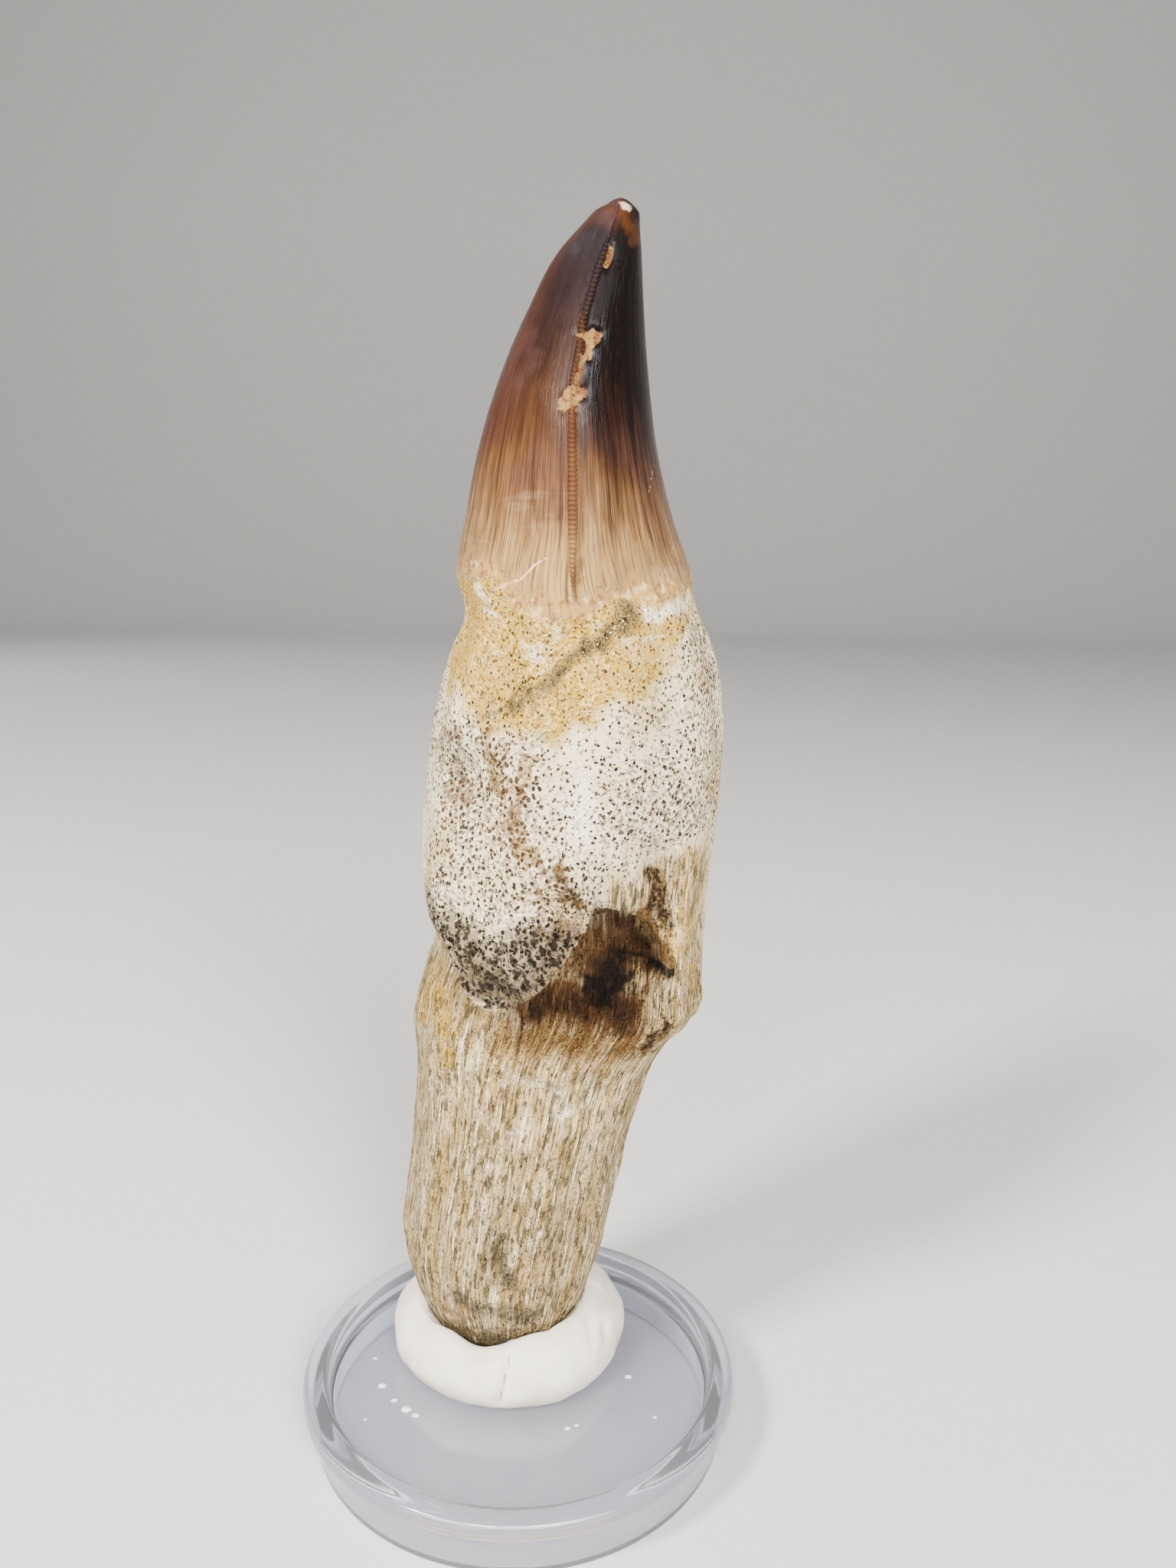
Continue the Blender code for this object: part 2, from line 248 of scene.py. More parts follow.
def noise(points, size, seed, octaves=1, gain=0.5):
    """Smooth noise from -1 to 1: lattice values size apart, blended by S-curves, with finer layers added."""
    total = np.zeros(points.shape[:-1])
    strength, reach = 1.0, 0.0
    for octave in range(octaves):
        scaled = points / (np.array(size) / 2.0**octave)
        whole = np.floor(scaled).astype(np.int64)
        part = scaled - whole
        part = part**3 * (part * (part * 6.0 - 15.0) + 10.0)
        value = np.zeros_like(total)
        for corner in range(8):
            step = (corner & 1, corner >> 1 & 1, corner >> 2)
            share = np.ones_like(total)
            for axis in range(3):
                share = share * (part[..., axis] if step[axis] else 1.0 - part[..., axis])
            cell = [whole[..., axis] + step[axis] for axis in range(3)]
            value = value + share * lattice(*cell, seed + 37 * octave)
        total = total + strength * (value * 2.0 - 1.0)
        reach += strength
        strength *= gain
    return total / reach


def cells(points, size, seed):
    """Distance to the nearest of one scattered point per lattice cell, in cell widths."""
    scaled = points / np.array(size)
    whole = np.floor(scaled).astype(np.int64)
    nearest = np.full(points.shape[:-1], 9.0)
    for corner in range(27):
        step = (corner % 3 - 1, corner // 3 % 3 - 1, corner // 9 - 1)
        cell = [whole[..., axis] + step[axis] for axis in range(3)]
        square = np.zeros_like(nearest)
        for axis in range(3):
            place = cell[axis] + lattice(*cell, seed + 101 * axis)
            square = square + (scaled[..., axis] - place) ** 2
        nearest = np.minimum(nearest, square)
    return np.sqrt(nearest)


def edge_distance(x, z):
    """Distance from the lobe's free edge, the least to its straight stretches: positive on the lobe."""
    nearest = np.full(np.shape(x), 99.0)
    for start, end in zip(LOBE_EDGE, LOBE_EDGE[1:]):
        nearest = np.minimum(nearest, off_line(x, z, start, end))
    line = np.interp(x, [point[0] for point in LOBE_EDGE], [point[1] for point in LOBE_EDGE])
    return np.where(z > line, nearest, -nearest)


def pit_share(x, z, edge):
    """1 in the pit's ellipse and 0 outside: a logistic step, sharp above and soft below, 0 on the lobe."""
    ring = np.hypot((x - PIT_CENTRE[0]) / PIT_HALF[0], (z - PIT_CENTRE[1]) / PIT_HALF[1])
    softness = 0.07 + 0.20 * smooth(PIT_CENTRE[1] - z, -1.0, 4.0) + 0.12 * smooth(PIT_CENTRE[0] - x, 0.0, 4.0)
    return 1.0 / (1.0 + np.exp((ring - 1.0) / softness)) * smooth(edge, 1.0, -0.7)


def front_relief(x, z):
    """How far the front face stands out, and how far each point slides right and up, in millimetres.

    The lobe is a step at the distance 0 from its edge that fades upwards. The pit is a step at an ellipse's
    edge, sharp above and soft below. The rest are mounds and grooves. Points on the lobe slide over its edge
    in proportion to their height, so it overhangs, and points in the pit's roof slide up under it.
    """
    edge = edge_distance(x, z)
    step = 0.15
    lean_x = (edge_distance(x + step, z) - edge_distance(x - step, z)) / (2.0 * step)
    lean_z = (edge_distance(x, z + step) - edge_distance(x, z - step)) / (2.0 * step)
    upper = smooth(z, 51.0, 60.0)
    rise = smooth(edge, -0.7, 1.1 + 7.0 * upper)
    lobe = LOBE_HEIGHT * rise * (1.0 - smooth(z, 43.0, 68.0)) * (1.0 - smooth(x, 6.0, 12.0 + 5.0 * upper))
    pit = pit_share(x, z, edge)
    scoop = mound(x, z, SCOOP_CENTRE, SCOOP_HALF, 3.0)
    ledge = smooth(LEDGE_HEIGHT - z, -0.6, 0.6) * smooth(z, 18.0, 30.0) * np.exp(-(((x - 3.0) / 6.0) ** 4))
    out = (
        lobe
        - PIT_DEPTH * pit
        + RIB_HEIGHT * groove(x, z, *RIB)
        - SLOT_DEPTH * groove(x, z, *SLOT)
        - SCOOP_DEPTH * scoop
        + LEDGE_STEP * ledge
        - DIMPLE_DEPTH * mound(x, z, DIMPLE_CENTRE, DIMPLE_HALF)
        + KNOB_HEIGHT * mound(x, z, KNOB_CENTRE, (KNOB_RADIUS, KNOB_RADIUS))
        - HOLLOW_DEPTH * mound(x, z, HOLLOW_CENTRE, HOLLOW_HALF)
        - SEAM_DEPTH * groove(x, z, *SEAM)
        - CLEFT_DEPTH * groove(x, z, *CLEFT)
    )
    near_edge = 1.0 - smooth(edge, 1.0, 6.0)
    roof = PIT_CEILING_REACH * PIT_DEPTH * pit * smooth(z, PIT_CENTRE[1], PIT_CENTRE[1] + 3.0)
    over = LOBE_OVERHANG * lobe * near_edge * smooth(x, -7.5, -2.5)
    return out, -over * lean_x, roof - over * lean_z


def back_relief(x, z):
    """How far the back face stands out: one long shallow scoop, as the inner side of a jaw tooth has."""
    return -BACK_SCOOP_DEPTH * mound(x, z, BACK_SCOOP_CENTRE, BACK_SCOOP_HALF, 3.0)


def tooth_form(angle, z):
    """The solid's own surface at an angle round its section and a height, in millimetres."""
    left = spline(z, EDGES, 1)
    right = spline(z, EDGES, 2)
    tip_share = np.sqrt(np.clip((TOOTH_TIP[1] - z) / TIP_ROUND, 0.0, 1.0))
    end_share = np.sqrt(np.clip((z - TOOTH_BOTTOM + 0.15) / 3.0, 0.0, 1.0))
    middle = (left + right) / 2.0
    to_tip = smooth(z, EDGES[-1][0], TOOTH_TIP[1])
    middle = middle * (1.0 - to_tip) + TOOTH_TIP[0] * to_tip
    half = (right - left) / 2.0
    crown = smooth(z, CROWN_BASE - 3.0, CROWN_BASE + 6.0)
    sideways = np.cos(angle)
    sharp = KEEL_SHARPNESS * crown * (1.0 - smooth(z, 100.0, 105.0))
    sideways = np.sign(sideways) * np.abs(sideways) ** (1.0 + sharp)
    flutes = FLUTE_DEPTH * np.cos(angle * 2 * FLUTES) * (1.0 - crown) * smooth(z, 10.0, 30.0)
    ends = tip_share * end_share
    depth = np.where(np.sin(angle) < 0.0, spline(z, DEPTHS, 1), spline(z, DEPTHS, 2))
    x = middle + (half + flutes) * ends * sideways
    y = TOOTH_DEPTH_CENTRE + (depth + flutes) * ends * np.sin(angle)
    facing = smooth(-np.sin(angle), 0.1, 0.55)
    x = x + (spline(z, KEEL_LINE, 1) - middle) * (1.0 - sideways**2) * facing * crown
    behind = smooth(np.sin(angle), 0.1, 0.55)
    near_ends = end_share * smooth(TOOTH_TIP[1] - z, 0.0, 6.0)
    out, slide_x, slide_z = front_relief(x, z)
    shown = facing * near_ends
    y = y - out * shown + back_relief(x, z) * behind * near_ends
    return np.stack([x + slide_x * shown, y, z + slide_z * shown], axis=-1)


def closed_grid(points):
    """Vertices, face corners in one row and face sizes of rows of points round a closed section.

    Quads join each row to the next, and a fan closes each end at the average of its row.
    """
    rows, columns = points.shape[:2]
    index = np.arange(rows * columns).reshape(rows, columns)
    beside = np.roll(index, -1, axis=1)
    quads = np.stack([index[:-1], beside[:-1], beside[1:], index[1:]], axis=-1)
    bottom = np.stack([beside[0], index[0], np.full(columns, rows * columns)], axis=-1)
    top = np.stack([index[-1], beside[-1], np.full(columns, rows * columns + 1)], axis=-1)
    verts = np.vstack([points.reshape(-1, 3), points[0].mean(axis=0), points[-1].mean(axis=0)])
    corners = np.concatenate([quads.reshape(-1), bottom.reshape(-1), top.reshape(-1)])
    sizes = np.concatenate([np.full((rows - 1) * columns, 4), np.full(2 * columns, 3)])
    return verts, corners, sizes


def smooth_mesh(name, verts, corners, sizes):
    """A smooth mesh from vertices in millimetres, the faces' corners in one row, and each face's size."""
    mesh = bpy.data.meshes.new(name)
    mesh.vertices.add(len(verts))
    mesh.vertices.foreach_set("co", (verts * MM).astype(np.float32).reshape(-1))
    mesh.loops.add(len(corners))
    mesh.loops.foreach_set("vertex_index", corners.astype(np.int32))
    mesh.polygons.add(len(sizes))
    starts = np.concatenate([[0], np.cumsum(sizes)[:-1]])
    mesh.polygons.foreach_set("loop_start", starts.astype(np.int32))
    mesh.update(calc_edges=True)
    mesh.validate()
    mesh.shade_smooth()
    return mesh


def set_attribute(mesh, name, values):
    """Stores one number a point, with the first and last rows' averages at the two end points."""
    flat = np.concatenate([values.reshape(-1), [values[0].mean(), values[-1].mean()]])
    attribute = mesh.attributes.new(name, "FLOAT", "POINT")
    attribute.data.foreach_set("value", flat.astype(np.float32))


def set_vector_attribute(mesh, name, values):
    """Stores one vector a point, with the first and last rows' averages at the two end points."""
    flat = np.vstack([values.reshape(-1, 3), values[0].mean(axis=0), values[-1].mean(axis=0)])
    attribute = mesh.attributes.new(name, "FLOAT_VECTOR", "POINT")
    attribute.data.foreach_set("vector", flat.astype(np.float32).reshape(-1))


def add_piece(name, mesh, node, material):
    """An object on the resting body, with its material and slot, in place of the CAD node if one is given."""
    obj = bpy.data.objects.new(name, mesh)
    bpy.context.scene.collection.objects.link(obj)
    mesh.materials.append(material)
    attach(obj, "root")
    if node:
        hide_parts(node)
    return obj


def linear(code):
    """A hex sRGB colour as linear RGBA."""
    values = [int(code[i : i + 2], 16) / 255.0 for i in (1, 3, 5)]
    return (*[v / 12.92 if v <= 0.04045 else ((v + 0.055) / 1.055) ** 2.4 for v in values], 1.0)


def add_node(material, kind, settings=None, links=None):
    """A node of that kind, with its settings by name, and its inputs linked or set by name or number."""
    tree = material.node_tree
    node = tree.nodes.new(kind)
    for key, value in (settings or {}).items():
        setattr(node, key, value)
    for key, value in (links or {}).items():
        if isinstance(value, bpy.types.NodeSocket):
            tree.links.new(value, node.inputs[key])
        else:
            node.inputs[key].default_value = value
    return node


def new_material(name):
    """A new node material, and its principled shader."""
    material = bpy.data.materials.new(name)
    material.use_nodes = True
    return material, material.node_tree.nodes["Principled BSDF"]


# Grid of the tooth: columns on the front and back, and the rows of each stretch of height in millimetres
FRONT_COLUMNS = 172
BACK_COLUMNS = 70
ROW_STRETCHES = ((5.2, 30.0, 70), (30.0, 57.0, 112), (57.0, 76.0, 70), (76.0, 100.0, 108))
TIP_ROWS = 40
RELAX_ROUNDS = 30
FRONT_ANGLE = 1.5 * math.pi
REAR_ANGLE = 0.5 * math.pi
STRAIGHT_RADIUS = 9.0

# Heights and depths of the tooth's fine relief, in millimetres
BONE_WAVES = 0.24
BONE_GRAIN = 0.07
STRAND_HEIGHT = 0.10
STRAND_GAP = 0.26
PORE_DEPTH = 0.22
CAVE_DEPTH = 0.5
SAND_HEIGHT = 0.17
CRUST_HEIGHT = 0.30
DARK_STREAK_DEPTH = 0.35
ENAMEL_STEP = 0.16
ENAMEL_LINES = 0.018
CHIP_DEPTH = 0.20
CHIP_WANDER = 0.12
NICK_DEPTH = 0.10
DARK_PIT_DEPTH = 0.55

# Keels, in millimetres: the ridge's height and its half width as an angle, then the beaded cord on it
KEEL_RIDGE = 0.16
KEEL_RIDGE_ANGLE = 0.07
KEEL_LIFT = 0.26
SERRATION = 0.36
KEEL_COLUMNS = 12
ROWS_PER_BEAD = 9
KEEL_FROM_TO = (76.4, 104.6)
KEEL_WIDTH = 0.68

ENAMEL_BASE = (
    # x, height of the enamel's lower edge on the front
    (-8.0, 78.4),
    (-4.3, 77.8),
    (-1.6, 77.4),
    (-0.8, 76.1),
    (0.8, 75.5),
    (3.6, 75.0),
    (5.6, 75.3),
    (7.4, 76.4),
    (9.6, 76.5),
    (11.6, 76.3),
    (13.6, 77.2),
    (16.0, 77.8),
)
OCHRE_BASE = (
    # x, height of the ochre band's lower edge on the front
    (-9.0, 70.0),
    (-7.0, 67.9),
    (-4.4, 65.9),
    (-2.2, 65.6),
    (1.7, 64.7),
    (4.9, 65.0),
    (6.8, 66.3),
    (7.8, 67.6),
    (10.3, 68.0),
    (12.2, 70.9),
    (14.5, 74.5),
    (18.0, 77.0),
)
# The same two edges on the back: height, how far they wave
ENAMEL_BASE_BEHIND = (77.4, 0.8)
OCHRE_BASE_BEHIND = (69.0, 2.0)
# Centre and half widths of the upper root's painted highlight, a pool of light painted on its front, and of
# the painted shade darkest in the pit under the lobe's overhang
PAINTED_HIGHLIGHT_PATCH = ((5.2, 60.4), (1.9, 4.2))
PAINTED_PIT_SHADE = ((8.0, 44.6), (3.4, 4.0))

# Each stain is a list of strokes: start and end in x and height, half width, strength. Some strokes are
# painted shade or a painted highlight, as marked at each
STAINS = {
    "rust": (
        ((10.3, 50.4), (12.6, 46.0), 1.3, 1.0),
        ((12.6, 46.0), (12.2, 43.0), 0.9, 0.6),
        ((-0.8, 38.9), (9.6, 37.6), 3.2, 0.78),
        ((0.6, 37.2), (1.2, 34.8), 1.6, 0.45),
        ((5.4, 37.4), (8.0, 34.4), 2.2, 0.6),
        ((-1.5, 33.6), (3.8, 32.3), 0.6, 0.55),
        ((-0.8, 28.0), (0.8, 24.0), 0.8, 0.35),
    ),
    # brown stain in and below the pit, partly painted shade in its hollow
    "pit": (
        ((1.6, 42.0), (8.8, 40.6), 3.0, 1.0),
        ((0.2, 41.0), (3.0, 39.6), 1.8, 0.6),
        ((8.8, 48.0), (11.2, 44.8), 2.0, 0.9),
    ),
    # near-black streaks and a crack line; the broad second stroke is painted shade in the pit's lower part
    "dark_streak_and_pit_shade": (
        ((8.4, 45.2), (12.6, 45.0), 0.55, 0.9),
        ((8.6, 43.6), (6.2, 42.2), 2.2, 0.95),
        ((0.3, 41.3), (0.2, 38.0), 0.24, 0.7),
    ),
    # painted shade on the lobe's right flank and under its free edge
    "painted_lobe_shade": (
        ((3.8, 50.8), (1.6, 45.4), 2.4, 0.85),
        ((-3.4, 45.6), (0.8, 44.0), 1.3, 0.9),
    ),
    "rot": (
        ((10.6, 54.8), (11.8, 49.4), 0.95, 1.0),
        ((9.6, 51.2), (12.4, 49.4), 0.7, 0.7),
        ((12.4, 49.0), (12.8, 44.4), 0.9, 0.8),
        ((12.8, 40.2), (11.4, 37.2), 1.0, 1.0),
        ((11.0, 43.4), (10.4, 40.6), 0.8, 0.7),
        ((3.0, 55.6), (4.9, 52.8), 1.0, 0.8),
        ((-0.6, 38.0), (0.6, 35.4), 0.6, 0.5),
    ),
    "grey": (
        ((-5.2, 64.6), (-5.0, 61.4), 2.7, 0.8),
        ((-3.5, 47.4), (0.1, 44.8), 1.7, 1.0),
        ((-1.0, 50.6), (4.4, 50.6), 1.5, 0.75),
        ((3.0, 55.6), (5.2, 52.4), 1.2, 0.9),
        ((13.0, 57.5), (9.0, 58.8), 2.2, 0.5),
        ((12.9, 41.0), (14.4, 42.6), 0.9, 0.6),
        ((-5.6, 8.6), (0.6, 7.8), 2.8, 1.0),
        ((-5.4, 13.4), (1.0, 11.6), 1.9, 0.9),
        ((-3.4, 31.0), (-2.6, 25.0), 0.9, 0.6),
        ((-3.6, 23.6), (-2.3, 19.4), 0.6, 0.6),
        ((-2.3, 19.4), (-1.0, 16.0), 1.6, 1.0),
        ((-5.6, 37.6), (-3.8, 32.6), 0.8, 0.6),
        ((8.6, 31.0), (7.2, 22.0), 1.0, 0.35),
    ),
    "brown": (
        ((-3.6, 67.8), (1.0, 69.6), 1.2, 0.6),
        ((-2.4, 65.4), (-1.6, 62.0), 1.3, 0.9),
        ((0.6, 63.8), (-0.1, 60.9), 1.2, 0.9),
        ((-0.1, 60.9), (1.0, 56.4), 1.2, 0.95),
        ((2.2, 64.0), (1.2, 62.6), 0.9, 0.55),
        ((3.2, 56.6), (4.6, 52.6), 1.3, 0.7),
        ((7.0, 64.0), (10.5, 61.5), 1.6, 0.4),
        ((13.0, 66.0), (14.6, 63.0), 1.2, 0.45),
    ),
    "ochre": (
        ((-9.2, 47.0), (-9.3, 39.6), 2.4, 1.0),
        ((-7.6, 44.0), (-6.4, 37.0), 1.8, 0.8),
        ((-8.6, 58.0), (-8.2, 50.0), 1.6, 0.4),
        ((14.4, 56.0), (14.8, 44.0), 1.6, 0.7),
        ((12.4, 50.0), (12.8, 47.0), 1.4, 0.7),
        ((-1.2, 39.5), (-0.6, 34.0), 1.3, 0.45),
        ((3.0, 34.0), (7.0, 33.0), 0.9, 0.35),
    ),
    "sand": (
        ((8.2, 75.5), (7.2, 74.4), 1.5, 0.9),
        ((7.2, 74.4), (5.0, 72.5), 1.3, 0.9),
        ((5.0, 72.5), (2.4, 70.4), 1.0, 0.8),
        ((2.4, 70.4), (-0.8, 68.2), 1.1, 0.75),
        ((-0.8, 68.2), (-3.4, 66.6), 1.2, 0.6),
        ((2.0, 66.2), (-1.8, 64.4), 1.1, 0.5),
    ),
    "chip": (
        ((6.75, 103.1), (6.3, 101.7), 0.30, 1.0),
        ((4.7, 96.5), (5.7, 96.2), 0.42, 1.0),
        ((5.3, 96.0), (5.1, 94.9), 0.42, 1.0),
        ((4.7, 94.6), (4.3, 92.4), 0.26, 0.9),
        ((4.4, 92.2), (3.8, 91.0), 0.58, 1.0),
    ),
    "cream_and_glint": (
        # at the tip: a worn cream spot, partly a painted highlight, a glint
        ((7.7, 106.9), (8.1, 106.5), 0.42, 1.0),
        ((-3.3, 77.0), (-2.6, 76.4), 0.9, 0.85),
        ((-2.6, 75.6), (-1.8, 75.4), 0.6, 0.7),
        ((9.8, 75.2), (12.6, 75.9), 0.8, 1.0),
        ((12.6, 75.9), (14.6, 76.2), 1.0, 1.0),
        ((3.0, 73.8), (6.4, 75.0), 0.9, 0.55),
        ((7.8, 73.4), (13.9, 73.8), 0.4, 0.7),
        ((0.2, 73.0), (2.0, 72.0), 0.8, 0.6),
        ((-3.6, 66.0), (-2.6, 65.2), 1.0, 0.6),
        ((-1.8, 35.2), (4.6, 34.0), 2.0, 0.5),
        ((-3.3, 32.5), (-1.2, 31.5), 0.9, 0.62),
        ((-0.6, 31.3), (2.2, 31.2), 0.8, 0.5),
        ((2.4, 31.4), (5.2, 32.3), 0.9, 0.62),
    ),
    "umber": (
        ((3.0, 87.5), (3.2, 83.2), 1.4, 0.75),
        ((7.6, 82.8), (10.6, 83.2), 1.3, 0.6),
        ((4.5, 79.4), (4.5, 77.4), 0.7, 0.9),
        ((4.2, 76.2), (5.2, 75.9), 1.1, 0.6),
    ),
    "amber": (
        ((8.0, 105.9), (8.6, 104.0), 0.65, 0.95),
        ((7.0, 106.4), (6.0, 105.4), 0.5, 0.5),
        ((4.5, 97.8), (4.4, 93.0), 0.45, 0.8),
        ((4.3, 80.2), (4.5, 76.6), 0.6, 0.75),
        ((7.6, 77.4), (9.0, 76.6), 0.9, 0.5),
        ((14.0, 79.0), (13.4, 83.4), 0.5, 0.6),
    ),
    "nick": (
        ((-1.2, 77.5), (0.1, 77.9), 0.17, 1.0),
        ((0.1, 77.9), (1.1, 78.8), 0.15, 1.0),
        ((1.1, 78.8), (2.2, 79.6), 0.17, 1.0),
        ((2.2, 79.6), (4.3, 80.9), 0.12, 0.6),
        ((10.5, 86.9), (9.9, 84.4), 0.09, 0.7),
        ((12.2, 80.7), (11.4, 78.4), 0.11, 0.75),
        ((11.4, 78.4), (9.4, 75.5), 0.09, 0.6),
    ),
}
STAIN_SEEDS = {name: 40 + 7 * place for place, name in enumerate(STAINS)}
DARK_PITS = (
    # x, height, half width, half height of single holes in the root
    (3.2, 31.0, 0.35, 0.7),
    (-2.2, 32.6, 0.30, 0.6),
    (3.7, 25.0, 0.30, 0.8),
    (5.6, 25.4, 0.28, 0.7),
    (-2.6, 25.8, 0.40, 0.7),
    (-2.6, 29.4, 0.35, 1.1),
    (-3.6, 34.6, 0.35, 1.0),
    (-1.7, 22.2, 0.40, 0.6),
    (3.0, 55.0, 0.60, 0.5),
    (4.6, 53.2, 0.45, 0.5),
    (2.2, 52.0, 0.35, 0.9),
    (3.6, 51.2, 0.30, 0.9),
    (5.0, 51.6, 0.30, 0.7),
    (4.1, 81.4, 0.20, 0.3),
)


def stain(points, name):
    """Strength of one stain in x and height.

    Each stroke fades like a bell curve of its distance over its width, at a place pushed about by noise.
    """
    x, z = points[..., 0], points[..., 2]
    push_x, push_z = [noise(points, (1.5, 1.5, 1.9), STAIN_SEEDS[name] + extra, 3) for extra in (0, 3)]
    total = np.zeros(x.shape)
    for start, end, width, strength in STAINS[name]:
        reach = min(1.3 * width, 0.9)
        ring = off_line(x + reach * push_x, z + reach * push_z, start, end) / width
        total = np.maximum(total, strength * np.exp(-(ring**2)))
    return total


def straightened(angle, points):
    """The tooth unbent to a straight rod of one radius, so that grain drawn in it runs along the tooth."""
    height = points[..., 2]
    return np.stack([STRAIGHT_RADIUS * np.cos(angle), STRAIGHT_RADIUS * np.sin(angle), height], axis=-1)


def surface_masks(angle, points):
    """What each point of the tooth is made of and stained with, from its place and the side that it is on."""
    x, z = points[..., 0], points[..., 2]
    front = smooth(-np.sin(angle), -0.05, 0.35)
    wander = noise(points, (2.2, 2.2, 2.2), 3, 3)
    behind = ENAMEL_BASE_BEHIND[0] + ENAMEL_BASE_BEHIND[1] * np.sin(angle * 3.0)
    line = front * spline(x, ENAMEL_BASE, 1) + (1.0 - front) * behind
    masks = {name: stain(points, name) * front for name in STAINS}
    enamel = z - line + 0.45 * wander
    masks["enamel"] = enamel
    masks["worn"] = smooth(enamel, 4.5, 0.3)
    behind = OCHRE_BASE_BEHIND[0] + OCHRE_BASE_BEHIND[1] * np.sin(angle * 2.0 + 1.0)
    ochre_line = front * spline(x, OCHRE_BASE, 1) + (1.0 - front) * behind
    band = smooth(z - ochre_line + 2.2 * wander, -1.6, 3.4) * (1.0 - smooth(enamel, 0.0, 0.6))
    band = band * (0.7 + 0.3 * front) * (1.0 - 0.25 * front * smooth(x, 6.0, 12.0))
    masks["ochre"] = np.maximum(masks["ochre"], band)
    edge = edge_distance(x, z)
    ragged = z + 3.0 * wander
    below_lobe = np.where(front > 0.5, 1.0 - smooth(edge, -0.3, 0.3), 1.0 - smooth(ragged, 44.0, 50.0))
    slope_zone = front * smooth(x, 6.6, 7.6) * smooth(z, 47.5, 50.0) * (1.0 - smooth(ragged, 53.5, 57.5))
    masks["fibre"] = np.maximum(below_lobe * (1.0 - smooth(ragged, 47.0, 50.0)), slope_zone)
    # painted highlight: a pool of light painted on the upper root's front
    bright = front * mound(x, z, *PAINTED_HIGHLIGHT_PATCH)
    upper = smooth(z, 45.0, 50.0) * (1.0 - masks["fibre"]) * (1.0 - smooth(enamel, -0.5, 0.2))
    upper = upper * (1.0 + 0.4 * noise(points, (4.0, 4.0, 5.0), 34, 2))
    # fewer pores show inside the painted highlight
    masks["pores"] = upper * (1.0 - 0.4 * bright) * (1.0 - 0.5 * masks["ochre"])
    masks["bright"] = bright
    sponge = front * smooth(edge, -0.6, 0.1) * (1.0 - smooth(edge, 2.6, 8.0)) * (1.0 - smooth(z, 49.0, 55.0))
    masks["sponge"] = sponge
    masks["pale"] = 1.0 - smooth(z, 82.0, 92.0)
    # the pit's hollow is darkened by painted shade over its brown stain, most towards its upper right under
    # the lobe's overhang
    painted_shade_in_pit = mound(x, z, *PAINTED_PIT_SHADE)
    masks["pit"] = np.maximum(masks["pit"], front * pit_share(x, z, edge) * (0.7 + 0.3 * painted_shade_in_pit))
    off_keel = x - spline(z, KEEL_LINE, 1)
    # painted shade: the crown's right side, darkening towards black from the base up
    masks["shade"] = front * smooth(z + 1.5 * wander, 76.0, 97.0) * smooth(off_keel + 0.2 * wander, -0.3, 1.2)
    left, right = spline(z, EDGES, 1), spline(z, EDGES, 2)
    off_middle = (x - (left + right) / 2.0) / ((right - left) / 2.0)
    masks["russet"] = smooth(-off_middle, 0.35, 0.95) * smooth(z, 80.0, 90.0)
    return masks


def fine_relief(angle, points, masks):
    """How far each point stands out along its normal in millimetres: bumps, grain, holes and steps summed."""
    grain = straightened(angle, points)
    x, z = points[..., 0], points[..., 2]
    bone = 1.0 - smooth(masks["enamel"], -0.2, 0.3)
    front = smooth(-np.sin(angle), -0.05, 0.35)
    out = bone * BONE_WAVES * noise(points, (5.0, 5.0, 6.0), 5, 2)
    out = out + bone * BONE_GRAIN * noise(points, (1.4, 1.4, 1.4), 6, 2)
    swirl = grain + np.stack([1.2 * noise(points, (6.0, 6.0, 6.0), 8)] * 3, axis=-1) * (1.0, 1.0, 0.0)
    strands = noise(swirl, (0.85, 0.85, 8.0), 9, 3)
    out = out + masks["fibre"] * (STRAND_HEIGHT * strands - STRAND_GAP * smooth(strands, 0.12, 0.5))
    holes = cells(points, (0.95, 0.95, 1.2), 12)
    out = out - masks["pores"] * PORE_DEPTH * (1.0 - smooth(holes, 0.10, 0.34))
    caves = cells(points, (1.2, 1.2, 1.7), 14)
    out = out - masks["sponge"] * CAVE_DEPTH * (1.0 - smooth(caves, 0.18, 0.46))
    out = out + masks["sand"] * SAND_HEIGHT * noise(points, (0.55, 0.55, 0.55), 16, 2)
    rough = np.maximum(masks["rust"], np.maximum(masks["dark_streak_and_pit_shade"], 0.7 * masks["brown"]))
    out = out + rough * CRUST_HEIGHT * noise(points, (1.5, 1.5, 2.2), 18, 3)
    out = out - DARK_STREAK_DEPTH * masks["dark_streak_and_pit_shade"] * (1.0 - smooth(z, 55.0, 57.0))
    out = out + ENAMEL_STEP * smooth(masks["enamel"], -0.12, 0.22)
    out = out + ENAMEL_LINES * noise(grain, (0.5, 0.5, 14.0), 20, 2) * (1.0 - bone)
    out = out - masks["chip"] * (CHIP_DEPTH + CHIP_WANDER * noise(points, (0.6, 0.6, 0.6), 22, 2))
    out = out - NICK_DEPTH * smooth(masks["nick"], 0.4, 0.9) * (1.0 - bone)
    for hole_x, hole_z, half_x, half_z in DARK_PITS:
        out = out - front * DARK_PIT_DEPTH * mound(x, z, (hole_x, hole_z), (half_x, half_z))
    return out


def relaxed(points, strength):
    """Evens out the spacing: each point moves to its four neighbours' average, along the surface only."""
    for _ in range(RELAX_ROUNDS):
        around = np.roll(points, 1, axis=1) + np.roll(points, -1, axis=1)
        above = np.concatenate([points[1:], points[-1:]])
        below = np.concatenate([points[:1], points[:-1]])
        pull = (around + above + below) / 4.0 - points
        normal = grid_normals(points)
        pull = pull - normal * (pull * normal).sum(axis=-1, keepdims=True)
        points = points + 0.6 * strength[..., None] * pull
    return points


